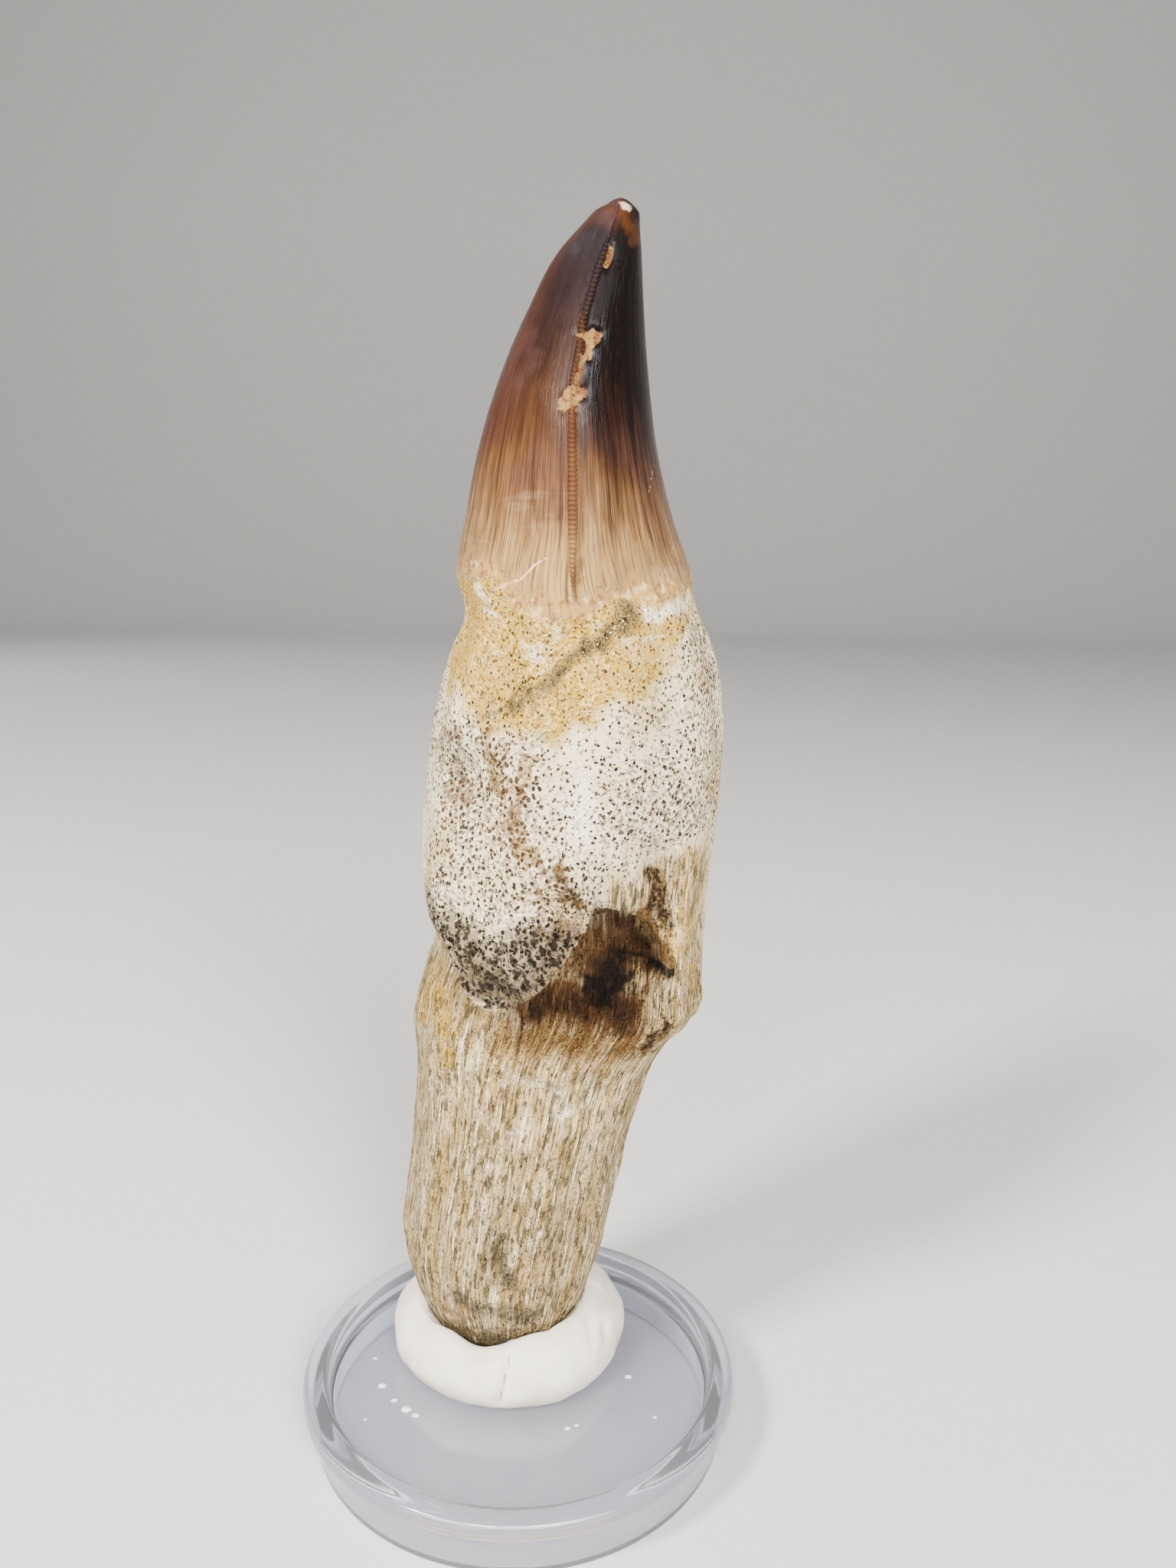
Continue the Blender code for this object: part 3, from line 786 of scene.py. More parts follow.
def grid_normals(points):
    """Unit normals of a closed grid: the cross product of its two directions, which points outwards."""
    along = np.roll(points, -1, axis=1) - np.roll(points, 1, axis=1)
    up = np.gradient(points, axis=0)
    normal = np.cross(along, up)
    return normal / np.maximum(np.linalg.norm(normal, axis=-1, keepdims=True), 1e-9)


def tooth_parameters():
    """Angles, closer together at the front keel, and heights, in rows of one height."""
    share = np.arange(FRONT_COLUMNS) / FRONT_COLUMNS
    front = math.pi * (1.0 + share + 0.35 * np.sin(2.0 * math.pi * share) / (2.0 * math.pi))
    back = np.linspace(0.0, math.pi, BACK_COLUMNS, endpoint=False)
    heights = [np.linspace(low, high, count, endpoint=False) for low, high, count in ROW_STRETCHES]
    last = ROW_STRETCHES[-1][1]
    turn = np.sin(np.linspace(0.0, math.pi / 2.0, TIP_ROWS + 1))[:-1]
    heights.append(last + (TOOTH_TIP[1] - last) * turn)
    return np.meshgrid(np.concatenate([back, front]), np.concatenate(heights))


def store_masks(mesh, angle, points, masks):
    """Stores every mask on the mesh, and each point's place on the straightened tooth for the grain."""
    for name, values in masks.items():
        set_attribute(mesh, name, values)
    set_vector_attribute(mesh, "grain", straightened(angle, points))


def build_tooth(material, relief):
    """The tooth's form, evened out on the front and raised along its normals by relief * the fine relief."""
    angle, height = tooth_parameters()
    points = tooth_form(angle, height)
    front = smooth(-np.sin(angle), 0.0, 0.3)
    busy = front * smooth(height, 28.0, 34.0) * (1.0 - smooth(height, 60.0, 68.0))
    points = relaxed(points, busy)
    masks = surface_masks(angle, points)
    ends = smooth(height, TOOTH_BOTTOM, TOOTH_BOTTOM + 2.0) * smooth(TOOTH_TIP[1] - height, 0.0, 1.2)
    keel = sum(np.exp(-(((angle - at) / KEEL_RIDGE_ANGLE) ** 2)) for at in (FRONT_ANGLE, REAR_ANGLE))
    crown = smooth(masks["enamel"], 0.5, 3.0)
    ridge = KEEL_RIDGE * keel * crown * (1.0 - masks["chip"])
    lift = relief * fine_relief(angle, points, masks) + ridge
    points = points + grid_normals(points) * (lift * ends)[..., None]
    mesh = smooth_mesh("tooth_surface", *closed_grid(points))
    masks["cord"] = np.zeros(height.shape)
    store_masks(mesh, angle, points, masks)
    return add_piece("tooth_surface", mesh, "tooth", material)


def build_keel(name, angle_value, material, serration, width):
    """A beaded cord along a keel: a tube round its line, width across, that swells once a serration."""
    serration, width = serration / MM, width / MM
    low, high = KEEL_FROM_TO
    rows = int((high - low) / serration * ROWS_PER_BEAD)
    heights = np.linspace(low, high, rows)
    turn = np.linspace(0.0, 2.0 * math.pi, KEEL_COLUMNS, endpoint=False)
    line = tooth_form(np.full(rows, angle_value), heights)
    outward = np.array([0.0, math.sin(angle_value), 0.0])
    masks = surface_masks(np.full(rows, angle_value), line)
    line = line + outward * KEEL_LIFT
    swell = 0.62 + 0.38 * np.abs(np.sin(math.pi * heights / serration))
    swell = swell * (1.0 + 0.25 * noise(line, (1.7, 1.7, 1.7), 30))
    fade = smooth(heights, low, low + 3.0) * (1.0 - smooth(heights, high - 1.5, high))
    radius = width / 2.0 * swell * (0.25 + 0.75 * fade) * (1.0 - 0.8 * masks["chip"])
    across = np.array([1.0, 0.0, 0.0])
    ring_x = np.cos(turn)[None, :, None] * across
    ring_y = np.sin(turn)[None, :, None] * np.array([0.0, 1.0, 0.0])
    points = line[:, None, :] + radius[:, None, None] * (ring_x + 1.3 * ring_y)
    angles = np.full((rows, KEEL_COLUMNS), angle_value)
    mesh = smooth_mesh(name, *closed_grid(points))
    masks = surface_masks(angles, points)
    masks["cord"] = 1.0 - 0.8 * smooth(points[..., 2], 92.0, 97.0)
    store_masks(mesh, angles, points, masks)
    return add_piece(name, mesh, None, material)


# Detail of the putty, in millimetres. Its lip dips in front at an angle and over a spread in radians, and is
# rounded over a share of the way down the ball. The last five are rows and columns of its grids
LIP_DROP = 4.25
LIP_DROP_ANGLE = 1.47 * math.pi
LIP_DROP_SPREAD = 0.95
LIP_LEAST_HEIGHT = 0.5
LIP_ROUNDING = 0.35
LIP_SHARE = 0.05
PRESS_DEPTH = 0.34
SKIN_DEPTH = 0.07
PLATE_CLEARANCE = 0.02
PUTTY_COLUMNS = 200
SOCKET_ROWS = 26
BALL_ROWS = 90
CRUMB_COLUMNS = 18
CRUMB_ROWS = 11
# The crack's start and end in x and height, its half width, and its depth
CRACK = ((-0.7, 9.0), (-1.5, 5.4), 0.24)
CRACK_DEPTH = 0.7
DENTS = (
    # x, height, half widths, depth of marks that fingers and a tool left in front
    (-5.2, 8.0, (1.1, 0.6), 0.30),
    (-3.0, 6.6, (0.5, 1.0), 0.22),
    (6.6, 9.6, (0.5, 1.4), 0.35),
    (8.0, 8.4, (0.4, 1.0), 0.30),
    (3.4, 7.6, (1.8, 0.7), 0.20),
)
CRUMBS = (
    # x, y, radius of each crumb of putty on the plate
    (-12.6, -2.6, 0.33),
    (-11.2, -4.4, 0.24),
    (-9.9, -5.6, 0.372),
    (-9.0, -6.3, 0.252),
    (-13.9, 1.2, 0.18),
    (10.2, -0.9, 0.27),
    (4.6, -7.6, 0.228),
    (5.4, -7.2, 0.168),
    (12.4, -6.0, 0.132),
    (-13.4, -6.8, 0.12),
)
# A crumb is wider along x than along y, and flat. Its centre stands this share of its radius over the plate
CRUMB_SHAPE = (1.25, 0.9, 0.5)
CRUMB_LIFT = 5.0 / 12.0


def putty_junction(angle, radii):
    """Height of the lip: where the root's surface leaves the ball, found by halving, and lower in front."""
    low = np.full(angle.shape, PUTTY_CENTRE[2] - 1.0)
    high = np.full(angle.shape, 20.0)
    for _ in range(24):
        middle = (low + high) / 2.0
        place = tooth_form(angle, middle)
        inside = sum(((place[..., k] - PUTTY_CENTRE[k]) / radii[k]) ** 2 for k in range(3)) < 1.0
        low = np.where(inside, middle, low)
        high = np.where(inside, high, middle)
    dropped = low - LIP_DROP * np.exp(-(((angle - LIP_DROP_ANGLE) / LIP_DROP_SPREAD) ** 2))
    return np.maximum(dropped, TOOTH_BOTTOM + LIP_LEAST_HEIGHT)


def build_putty(material, radius, plate_top):
    """A pressed ball round the root.

    Each column starts at the socket's floor, climbs the root's surface to the lip, turns over it, follows the
    ball round its waist and ends under it, flat on the plate. Low noise stands for hand pressing.
    """
    radius, plate_top = radius / MM, plate_top / MM
    radii = np.array([radius, radius, PUTTY_HALF_HEIGHT])
    angle = np.linspace(0.0, 2.0 * math.pi, PUTTY_COLUMNS, endpoint=False)
    join = putty_junction(angle, radii)
    share = np.linspace(0.0, 1.0, SOCKET_ROWS)[:, None]
    wall_height = TOOTH_BOTTOM + 0.1 + (join - TOOTH_BOTTOM - 0.1) * share**0.7
    wall = tooth_form(np.broadcast_to(angle, wall_height.shape), wall_height)
    lip = wall[-1] - np.array(PUTTY_CENTRE)
    lip = lip / radii
    inset = np.linalg.norm(lip, axis=-1)
    azimuth = np.arctan2(lip[:, 1], lip[:, 0])
    start = np.arcsin(lip[:, 2] / inset)
    sweep = np.linspace(0.0, 1.0, BALL_ROWS)[1:, None]
    rise = start + (1.0 - inset) * 1.6 * np.sin(math.pi * np.clip(sweep / 0.3, 0.0, 1.0))
    rise = rise * (1.0 - sweep) - math.pi / 2.0 * sweep
    swell = inset + (1.0 - inset) * np.sin(math.pi / 2.0 * np.clip(sweep / 0.2, 0.0, 1.0))
    out = np.cos(rise)
    direction = np.stack([out * np.cos(azimuth), out * np.sin(azimuth), np.sin(rise)], axis=-1)
    ball = np.array(PUTTY_CENTRE) + radii * direction * swell[..., None]
    press = PRESS_DEPTH * noise(ball, (4.5, 4.5, 3.5), 60, 2)
    press = press + SKIN_DEPTH * noise(ball, (1.2, 1.2, 1.0), 61, 2)
    for dent_x, dent_z, half, depth in DENTS:
        dent = mound(ball[..., 0], ball[..., 2], (dent_x, dent_z), half)
        press = press - depth * dent * (ball[..., 1] < 1.0)
    lip_round = LIP_ROUNDING * np.exp(-((sweep / LIP_SHARE - 1.0) ** 2)) * np.ones_like(azimuth)
    crack = CRACK_DEPTH * groove(ball[..., 0], ball[..., 2], *CRACK) * (ball[..., 1] < 0.0)
    outwards = ball - np.array(PUTTY_CENTRE)
    outwards = outwards / np.linalg.norm(outwards, axis=-1, keepdims=True)
    ball = ball + outwards * (press * smooth(sweep, 0.0, 0.1) + lip_round - crack)[..., None]
    floor = plate_top + PLATE_CLEARANCE
    ball[..., 2] = floor + np.sqrt((ball[..., 2] - floor).clip(0.0) ** 2 + 1e-6)
    points = np.vstack([wall, ball])[:, ::-1]
    mesh = smooth_mesh("putty_ball", *closed_grid(points))
    # darker at the lip where the putty meets the root in front, along the crack and on the hidden socket
    # wall: smudges, and painted shade at the join and in the crack
    near_lip = np.exp(-((sweep / LIP_SHARE) ** 2)) * smooth(-np.sin(azimuth), -0.2, 0.6)
    grime_and_shade = np.vstack([np.ones(wall.shape[:2]), np.maximum(near_lip, crack / CRACK_DEPTH)])
    set_attribute(mesh, "grime_and_shade", grime_and_shade[:, ::-1])
    return add_piece("putty_ball", mesh, "putty_collar", material)


def build_crumbs(material, plate_top):
    """Small flattened spheres whose radius wanders by noise, set on the plate and joined in one mesh."""
    turn = np.linspace(0.0, 2.0 * math.pi, CRUMB_COLUMNS, endpoint=False)
    rise = np.linspace(-math.pi / 2.0, math.pi / 2.0, CRUMB_ROWS + 2)[1:-1, None]
    level = np.broadcast_to(np.sin(rise), (len(rise), len(turn)))
    sphere = np.stack([np.cos(rise) * np.cos(turn), np.cos(rise) * np.sin(turn), level], axis=-1)
    verts, corners, sizes = [], [], []
    for number, (x, y, radius) in enumerate(CRUMBS):
        reach = radius * (1.0 + 0.35 * noise(sphere + 9.0 * number, (0.8, 0.8, 0.8), 70, 2))
        place = (x, y, plate_top / MM + CRUMB_LIFT * radius)
        lump_verts, lump_corners, lump_sizes = closed_grid(sphere * reach[..., None] * CRUMB_SHAPE + place)
        corners.append(lump_corners + sum(len(done) for done in verts))
        verts.append(lump_verts)
        sizes.append(lump_sizes)
    mesh = smooth_mesh("putty_crumbs", np.vstack(verts), np.concatenate(corners), np.concatenate(sizes))
    return add_piece("putty_crumbs", mesh, None, material)


def rounded(corners, radii, steps=7):
    """An outline with each corner replaced by an arc: a quadratic curve from one side of it to the other."""
    count = len(corners)
    out = []
    for i in range(count):
        here = np.array(corners[i], float)
        if radii[i] == 0.0:
            out.append(here[None])
            continue
        before = np.array(corners[i - 1], float) - here
        after = np.array(corners[(i + 1) % count], float) - here
        start = here + before / np.linalg.norm(before) * radii[i]
        end = here + after / np.linalg.norm(after) * radii[i]
        t = np.linspace(0.0, 1.0, steps)[:, None]
        out.append((1 - t) ** 2 * start + 2 * t * (1 - t) * here + t**2 * end)
    return np.vstack(out)


def build_cap(material, radius, top, plate_top):
    """The cap's rounded outline turned round the upright axis, from under the plate over the lip and in."""
    radius, top, plate_top = radius / MM, top / MM, plate_top / MM
    recess, skirt = radius - LIP_WIDTH, radius - FLANGE_REACH
    inner_skirt = skirt - SKIRT_WALL
    underside = plate_top - PLATE_THICKNESS
    corners = [
        (0.4, plate_top),
        (recess, plate_top),
        (recess, top),
        (radius, top),
        (radius, FLANGE_UNDERSIDE),
        (skirt, FLANGE_UNDERSIDE),
        (skirt, 0.0),
        (inner_skirt, 0.0),
        (inner_skirt, underside),
        (0.4, underside),
    ]
    radii = [0.0, 0.35, 0.65, 1.1, 0.28, 0.2, 0.28, 0.28, 0.35, 0.0]
    outline = rounded(corners, radii)
    turn = np.linspace(0.0, 2.0 * math.pi, 160, endpoint=False)
    out, height = outline[::-1, 0, None], outline[::-1, 1, None]
    points = np.stack([out * np.cos(turn), out * np.sin(turn), height + 0.0 * turn], axis=-1)
    mesh = smooth_mesh("clear_cap", *closed_grid(points))
    return add_piece("clear_cap", mesh, "stand_cap", material)


# Enamel by height on the crown, from its base to its tip
ENAMEL_BANDS = (
    # height, colour
    (74.5, "#a98b50"),
    (77.0, "#a48453"),
    (79.5, "#99784a"),
    (82.5, "#7a5935"),
    (85.5, "#6a492b"),
    (89.0, "#4a2e1b"),
    (92.5, "#372014"),
    (96.0, "#2a1913"),
    (100.0, "#201313"),
    (104.5, "#160d0f"),
    (107.2, "#341a0c"),
)

# Patterns that the layers below are cut from. The real pores are finer than these cells, and are drawn
# coarser so that they show
PATTERNS = (
    # name, kind, coordinates, width and length in millimetres, detail
    ("cloud", "noise", "Object", (7.0, 7.0), 4.0),
    ("blotch", "noise", "Object", (2.4, 2.4), 5.0),
    ("spot", "noise", "Object", (0.9, 0.9), 4.0),
    ("speck", "noise", "Object", (0.42, 0.42), 2.0),
    ("crumb", "noise", "Object", (0.26, 0.26), 2.0),
    ("grit", "noise", "Object", (0.33, 0.36), 2.0),
    ("pore", "cells", "Object", (0.43, 0.48), 0.0),
    ("dash", "noise", "grain", (0.36, 1.4), 2.0),
    ("strand", "noise", "grain", (0.28, 4.0), 3.0),
    ("slot", "cells", "grain", (0.42, 1.10), 0.0),
    ("thread", "noise", "grain", (0.20, 5.0), 2.0),
    ("sheaf", "noise", "grain", (1.5, 10.0), 4.0),
    ("hair", "noise", "grain", (0.11, 4.0), 2.0),
    ("silk", "noise", "grain", (0.13, 5.0), 2.0),
    ("streak", "noise", "grain", (0.45, 8.0), 3.0),
    ("ring", "noise", "grain", (9.0, 1.6), 3.0),
)

# Each layer covers what is under it where mask * gain + pattern passes from low to high
BONE_LAYERS = (
    # colour, mask, gain, pattern, low, high, cover
    ("#cfb274", None, 0.0, "cloud", 0.46, 0.66, 0.55),
    # painted highlight on the upper root's front
    ("#fff6e0", "bright", 0.8, "blotch", 0.75, 1.20, 0.95),
    ("#d2b987", "fibre", 1.0, "spot", 0.60, 1.30, 0.60),
    ("#a8863c", "fibre", 0.7, "sheaf", 0.95, 1.35, 0.80),
    ("#c79a74", "fibre", 0.5, "blotch", 1.03, 1.18, 0.40),
    ("#807c58", "fibre", 0.5, "spot", 1.01, 1.16, 0.6),
    ("#bb931a", "ochre", 0.75, "blotch", 0.72, 1.26, 0.92),
    ("#e3cf8e", "ochre", 0.50, "blotch", 1.00, 1.12, 0.60),
    ("#ecd78e", "ochre", 0.40, "spot", 0.92, 1.02, 0.75),
    ("#85591a", "ochre", 0.40, "blotch", 0.94, 1.10, 0.70),
    ("#6e4718", "ochre", 0.36, "grit", 0.88, 0.98, 0.75),
    ("#fbe9ae", "ochre", 0.36, "crumb", 0.92, 1.00, 0.65),
    ("#8e6c36", "brown", 0.7, "spot", 0.80, 1.15, 0.80),
    ("#766951", "sponge", 0.8, "speck", 0.72, 1.20, 0.85),
    ("#f1e4c2", "fibre", 0.30, "strand", 0.79, 0.91, 0.75),
    ("#7d6636", "fibre", 0.30, "thread", 0.78, 0.90, 0.70),
    ("#4d4226", "fibre", 0.30, "dash", 0.86, 0.95, 0.80),
    ("#b8901d", "ochre", 0.80, "sheaf", 0.90, 1.50, 0.50),
    ("#6e4812", "rust", 0.9, "strand", 0.95, 1.25, 0.88),
    ("#a87c3c", "rust", 0.45, "strand", 0.94, 1.04, 0.5),
    ("#574d36", "grey", 0.8, "spot", 0.80, 1.30, 0.85),
    # painted shade on the lobe's right flank and under its edge
    ("#5c4b36", "painted_lobe_shade", 0.9, "spot", 0.75, 1.35, 0.72),
    ("#83694a", "pores", 0.22, "grit", 0.76, 0.86, 0.75),
    ("#4c351d", "pores", 0.25, "pore", 0.87, 1.00, 0.90),
    ("#b07c40", "pores", 0.20, "speck", 0.80, 0.90, 0.45),
    ("#5a4020", "brown", 0.28, "pore", 0.88, 1.02, 0.9),
    ("#7d5f33", "brown", 0.28, "grit", 0.76, 0.88, 0.75),
    ("#2a2013", "sponge", 0.32, "pore", 0.92, 1.06, 0.95),
    ("#2a2014", "sponge", 0.30, "grit", 0.82, 0.92, 0.85),
    ("#2e2418", "sponge", 0.30, "slot", 0.86, 1.02, 0.85),
    # painted shade: darker slots in the shaded flank of the lobe
    ("#1c140d", "painted_lobe_shade", 0.30, "slot", 0.82, 1.02, 0.85),
    ("#40382a", "grey", 0.28, "grit", 0.77, 0.89, 0.65),
    ("#6b5a3a", "sand", 0.9, "spot", 0.80, 1.30, 0.9),
    ("#dccb98", "sand", 0.5, "crumb", 0.98, 1.06, 0.9),
    ("#231c10", "sand", 0.5, "grit", 1.0, 1.10, 0.9),
    ("#f4e9c8", "cream_and_glint", 0.8, "spot", 0.85, 1.25, 0.9),
    ("#fff6e2", "nick", 0.8, "speck", 0.85, 1.15, 0.9),
    ("#765730", "rot", 0.8, "spot", 0.80, 1.25, 0.80),
    # pit: brown stain, with painted shade darkening the hollow under the lobe to near black
    ("#4a2a0b", "pit", 1.1, "strand", 0.85, 1.45, 0.95),
    ("#160a04", "pit", 1.2, "blotch", 1.25, 1.90, 0.92),
    ("#86602f", "pit", 0.25, "strand", 0.82, 0.96, 0.40),
    ("#20140a", "rot", 0.6, "speck", 0.85, 1.15, 0.95),
    # near-black streaks and crack, and painted shade in the pit's lower part
    ("#0c0704", "dark_streak_and_pit_shade", 0.9, "spot", 0.80, 1.35, 0.96),
)
ENAMEL_LAYERS = (
    # colour, mask, gain, pattern, low, high, cover
    ("#6d4a44", None, 0.0, "cloud", 0.48, 0.66, 0.25),
    ("#c6a580", "pale", 0.3, "ring", 0.84, 1.00, 0.22),
    ("#2a1812", None, 0.0, "streak", 0.50, 0.72, 0.40),
    ("#4f2814", "russet", 0.9, "streak", 0.85, 1.45, 0.45),
    ("#140a07", None, 0.0, "hair", 0.50, 0.62, 0.55),
    ("#d8b48c", "pale", 0.3, "silk", 0.86, 0.98, 0.30),
    ("#3a1d14", "umber", 0.9, "blotch", 0.85, 1.5, 0.75),
    # painted shade on the crown's right side
    ("#090403", "shade", 1.0, "streak", 0.50, 1.48, 0.96),
    ("#b89150", "worn", 0.7, "blotch", 0.95, 1.25, 0.75),
    ("#6e3c18", "worn", 0.35, "speck", 0.87, 0.97, 0.6),
    ("#e2cc9a", "worn", 0.35, "spot", 0.88, 0.98, 0.55),
    ("#5c3418", "cord", 1.0, "spot", 0.9, 1.7, 0.65),
    ("#55300f", "amber", 0.9, "spot", 0.85, 1.5, 0.55),
    # cream patches, and at the tip a painted glint over the worn spot
    ("#dcc39a", "cream_and_glint", 1.0, "spot", 0.95, 1.45, 0.95),
    ("#dcc8a4", "nick", 0.8, "speck", 0.95, 1.20, 0.8),
)
CHIP_LAYERS = (
    # colour, mask, gain, pattern, low, high, cover
    ("#6e4220", None, 0.0, "spot", 0.46, 0.60, 1.0),
    ("#3c200e", None, 0.0, "crumb", 0.56, 0.64, 0.85),
)
BUMPS = (
    # mask, gain, pattern, low, high, depth in millimetres, below zero for a hole
    (None, 0.0, "crumb", 0.30, 0.70, 0.10),
    ("pores", 0.25, "pore", 0.82, 1.06, -0.25),
    ("pores", 0.22, "grit", 0.70, 0.90, -0.14),
    ("sponge", 0.32, "pore", 0.84, 1.10, -0.35),
    ("sponge", 0.30, "slot", 0.80, 1.04, -0.25),
    ("brown", 0.22, "pore", 0.78, 0.96, -0.18),
    ("fibre", 0.60, "sheaf", 0.90, 1.40, 0.35),
    ("fibre", 0.30, "strand", 0.70, 0.95, 0.20),
    ("fibre", 0.30, "dash", 0.82, 0.95, -0.25),
    ("sand", 0.6, "crumb", 0.95, 1.2, 0.18),
    ("ochre", 0.4, "speck", 0.70, 1.1, 0.10),
    ("rust", 0.5, "speck", 0.80, 1.1, -0.20),
)


BAND_BENDS = (
    # pattern, how far it moves the enamel's bands in millimetres
    ("cloud", 9.0),
    ("streak", 7.0),
    ("ring", 3.0),
)
# Finish of each material; sizes and depths in millimetres
BONE_ROUGHNESS = 0.86
ENAMEL_ROUGHNESS = 0.28
FILLING_ROUGHNESS = 0.6
ROUGHNESS_WANDER = 0.24
HAIRLINE_DEPTH = 0.035
PUTTY_ROUGHNESS = (0.50, 0.68)
PUTTY_SMEAR = "#d3c3a6"
# colour of the smudges and of the painted shade at the lip's join and in the crack
PUTTY_GRIME_AND_SHADE = "#8a8268"
PUTTY_SKIN_DEPTH = 0.05
CAP_ROUGHNESS = (0.08, 0.18)
CAP_HAZE_SIZE = 4.0
CAP_TRANSMISSION = 0.88


def make_patterns(material):
    """Textures by name, each stretched to its own width and length: noise, or dots at the points of cells.

    The cells' own coordinates are pushed about by the fine noise, so that no dot is round.
    """
    tree_place = add_node(material, "ShaderNodeTexCoord").outputs["Object"]
    grain = add_node(material, "ShaderNodeAttribute", {"attribute_name": "grain"}).outputs["Vector"]
    patterns = {"height": add_node(material, "ShaderNodeSeparateXYZ", links={0: tree_place}).outputs[2]}
    for name, kind, source, (width, length), detail in PATTERNS:
        unit, vector = (1.0 / MM, tree_place) if source == "Object" else (1.0, grain)
        size = (unit / width, unit / width, unit / length)
        scaled = add_node(material, "ShaderNodeVectorMath", {"operation": "MULTIPLY"}, {0: vector, 1: size})
        if kind == "noise":
            links = {"Vector": scaled.outputs[0], "Scale": 1.0, "Detail": detail, "Roughness": 0.55}
            found = add_node(material, "ShaderNodeTexNoise", links=links)
            patterns[name] = found.outputs["Fac"]
            if name == "speck":
                push = found.outputs["Color"]
            continue
        links = {0: push, 1: (0.9, 0.9, 0.9), 2: scaled.outputs[0]}
        pushed = add_node(material, "ShaderNodeVectorMath", {"operation": "MULTIPLY_ADD"}, links).outputs[0]
        spots = add_node(material, "ShaderNodeTexVoronoi", links={"Vector": pushed, "Scale": 1.0})
        links = {0: 1.0, 1: spots.outputs["Distance"]}
        patterns[name] = add_node(material, "ShaderNodeMath", {"operation": "SUBTRACT"}, links).outputs[0]
    return patterns


def cut_pattern(material, patterns, mask, gain, pattern, low, high, most=1.0):
    """An S-curve of mask * gain + pattern, from 0 at low to most at high."""
    value = patterns[pattern]
    if mask:
        weight = add_node(material, "ShaderNodeAttribute", {"attribute_name": mask}).outputs["Fac"]
        links = {0: weight, 1: gain, 2: value}
        value = add_node(material, "ShaderNodeMath", {"operation": "MULTIPLY_ADD"}, links).outputs[0]
    links = {"Value": value, "From Min": low, "From Max": high, "To Max": most}
    return add_node(material, "ShaderNodeMapRange", {"interpolation_type": "SMOOTHSTEP"}, links).outputs[0]


def lay_colours(material, patterns, colour, layers):
    """A colour with every layer laid over it in turn."""
    for code, mask, gain, pattern, low, high, cover in layers:
        share = cut_pattern(material, patterns, mask, gain, pattern, low, high, cover)
        links = {0: share, 6: colour, 7: linear(code)}
        colour = add_node(material, "ShaderNodeMix", {"data_type": "RGBA"}, links).outputs[2]
    return colour


def enamel_by_height(material, patterns):
    """The crown's colour at each height, with its bands bent by clouds and drawn out by streaks."""
    level = patterns["height"]
    for pattern, reach in BAND_BENDS:
        links = {0: patterns[pattern], 1: reach * MM, 2: level}
        level = add_node(material, "ShaderNodeMath", {"operation": "MULTIPLY_ADD"}, links).outputs[0]
    shift = sum(reach for _, reach in BAND_BENDS) / 2.0
    low, high = ENAMEL_BANDS[0][0], ENAMEL_BANDS[-1][0]
    links = {"Value": level, "From Min": (low + shift) * MM, "From Max": (high + shift) * MM}
    share = add_node(material, "ShaderNodeMapRange", links=links).outputs[0]
    ramp = add_node(material, "ShaderNodeValToRGB", links={0: share})
    stops = ramp.color_ramp.elements
    for _ in ENAMEL_BANDS[2:]:
        stops.new(0.5)
    for stop, (band, code) in zip(stops, ENAMEL_BANDS):
        stop.position = (band - low) / (high - low)
        stop.color = linear(code)
    return ramp.outputs[0]


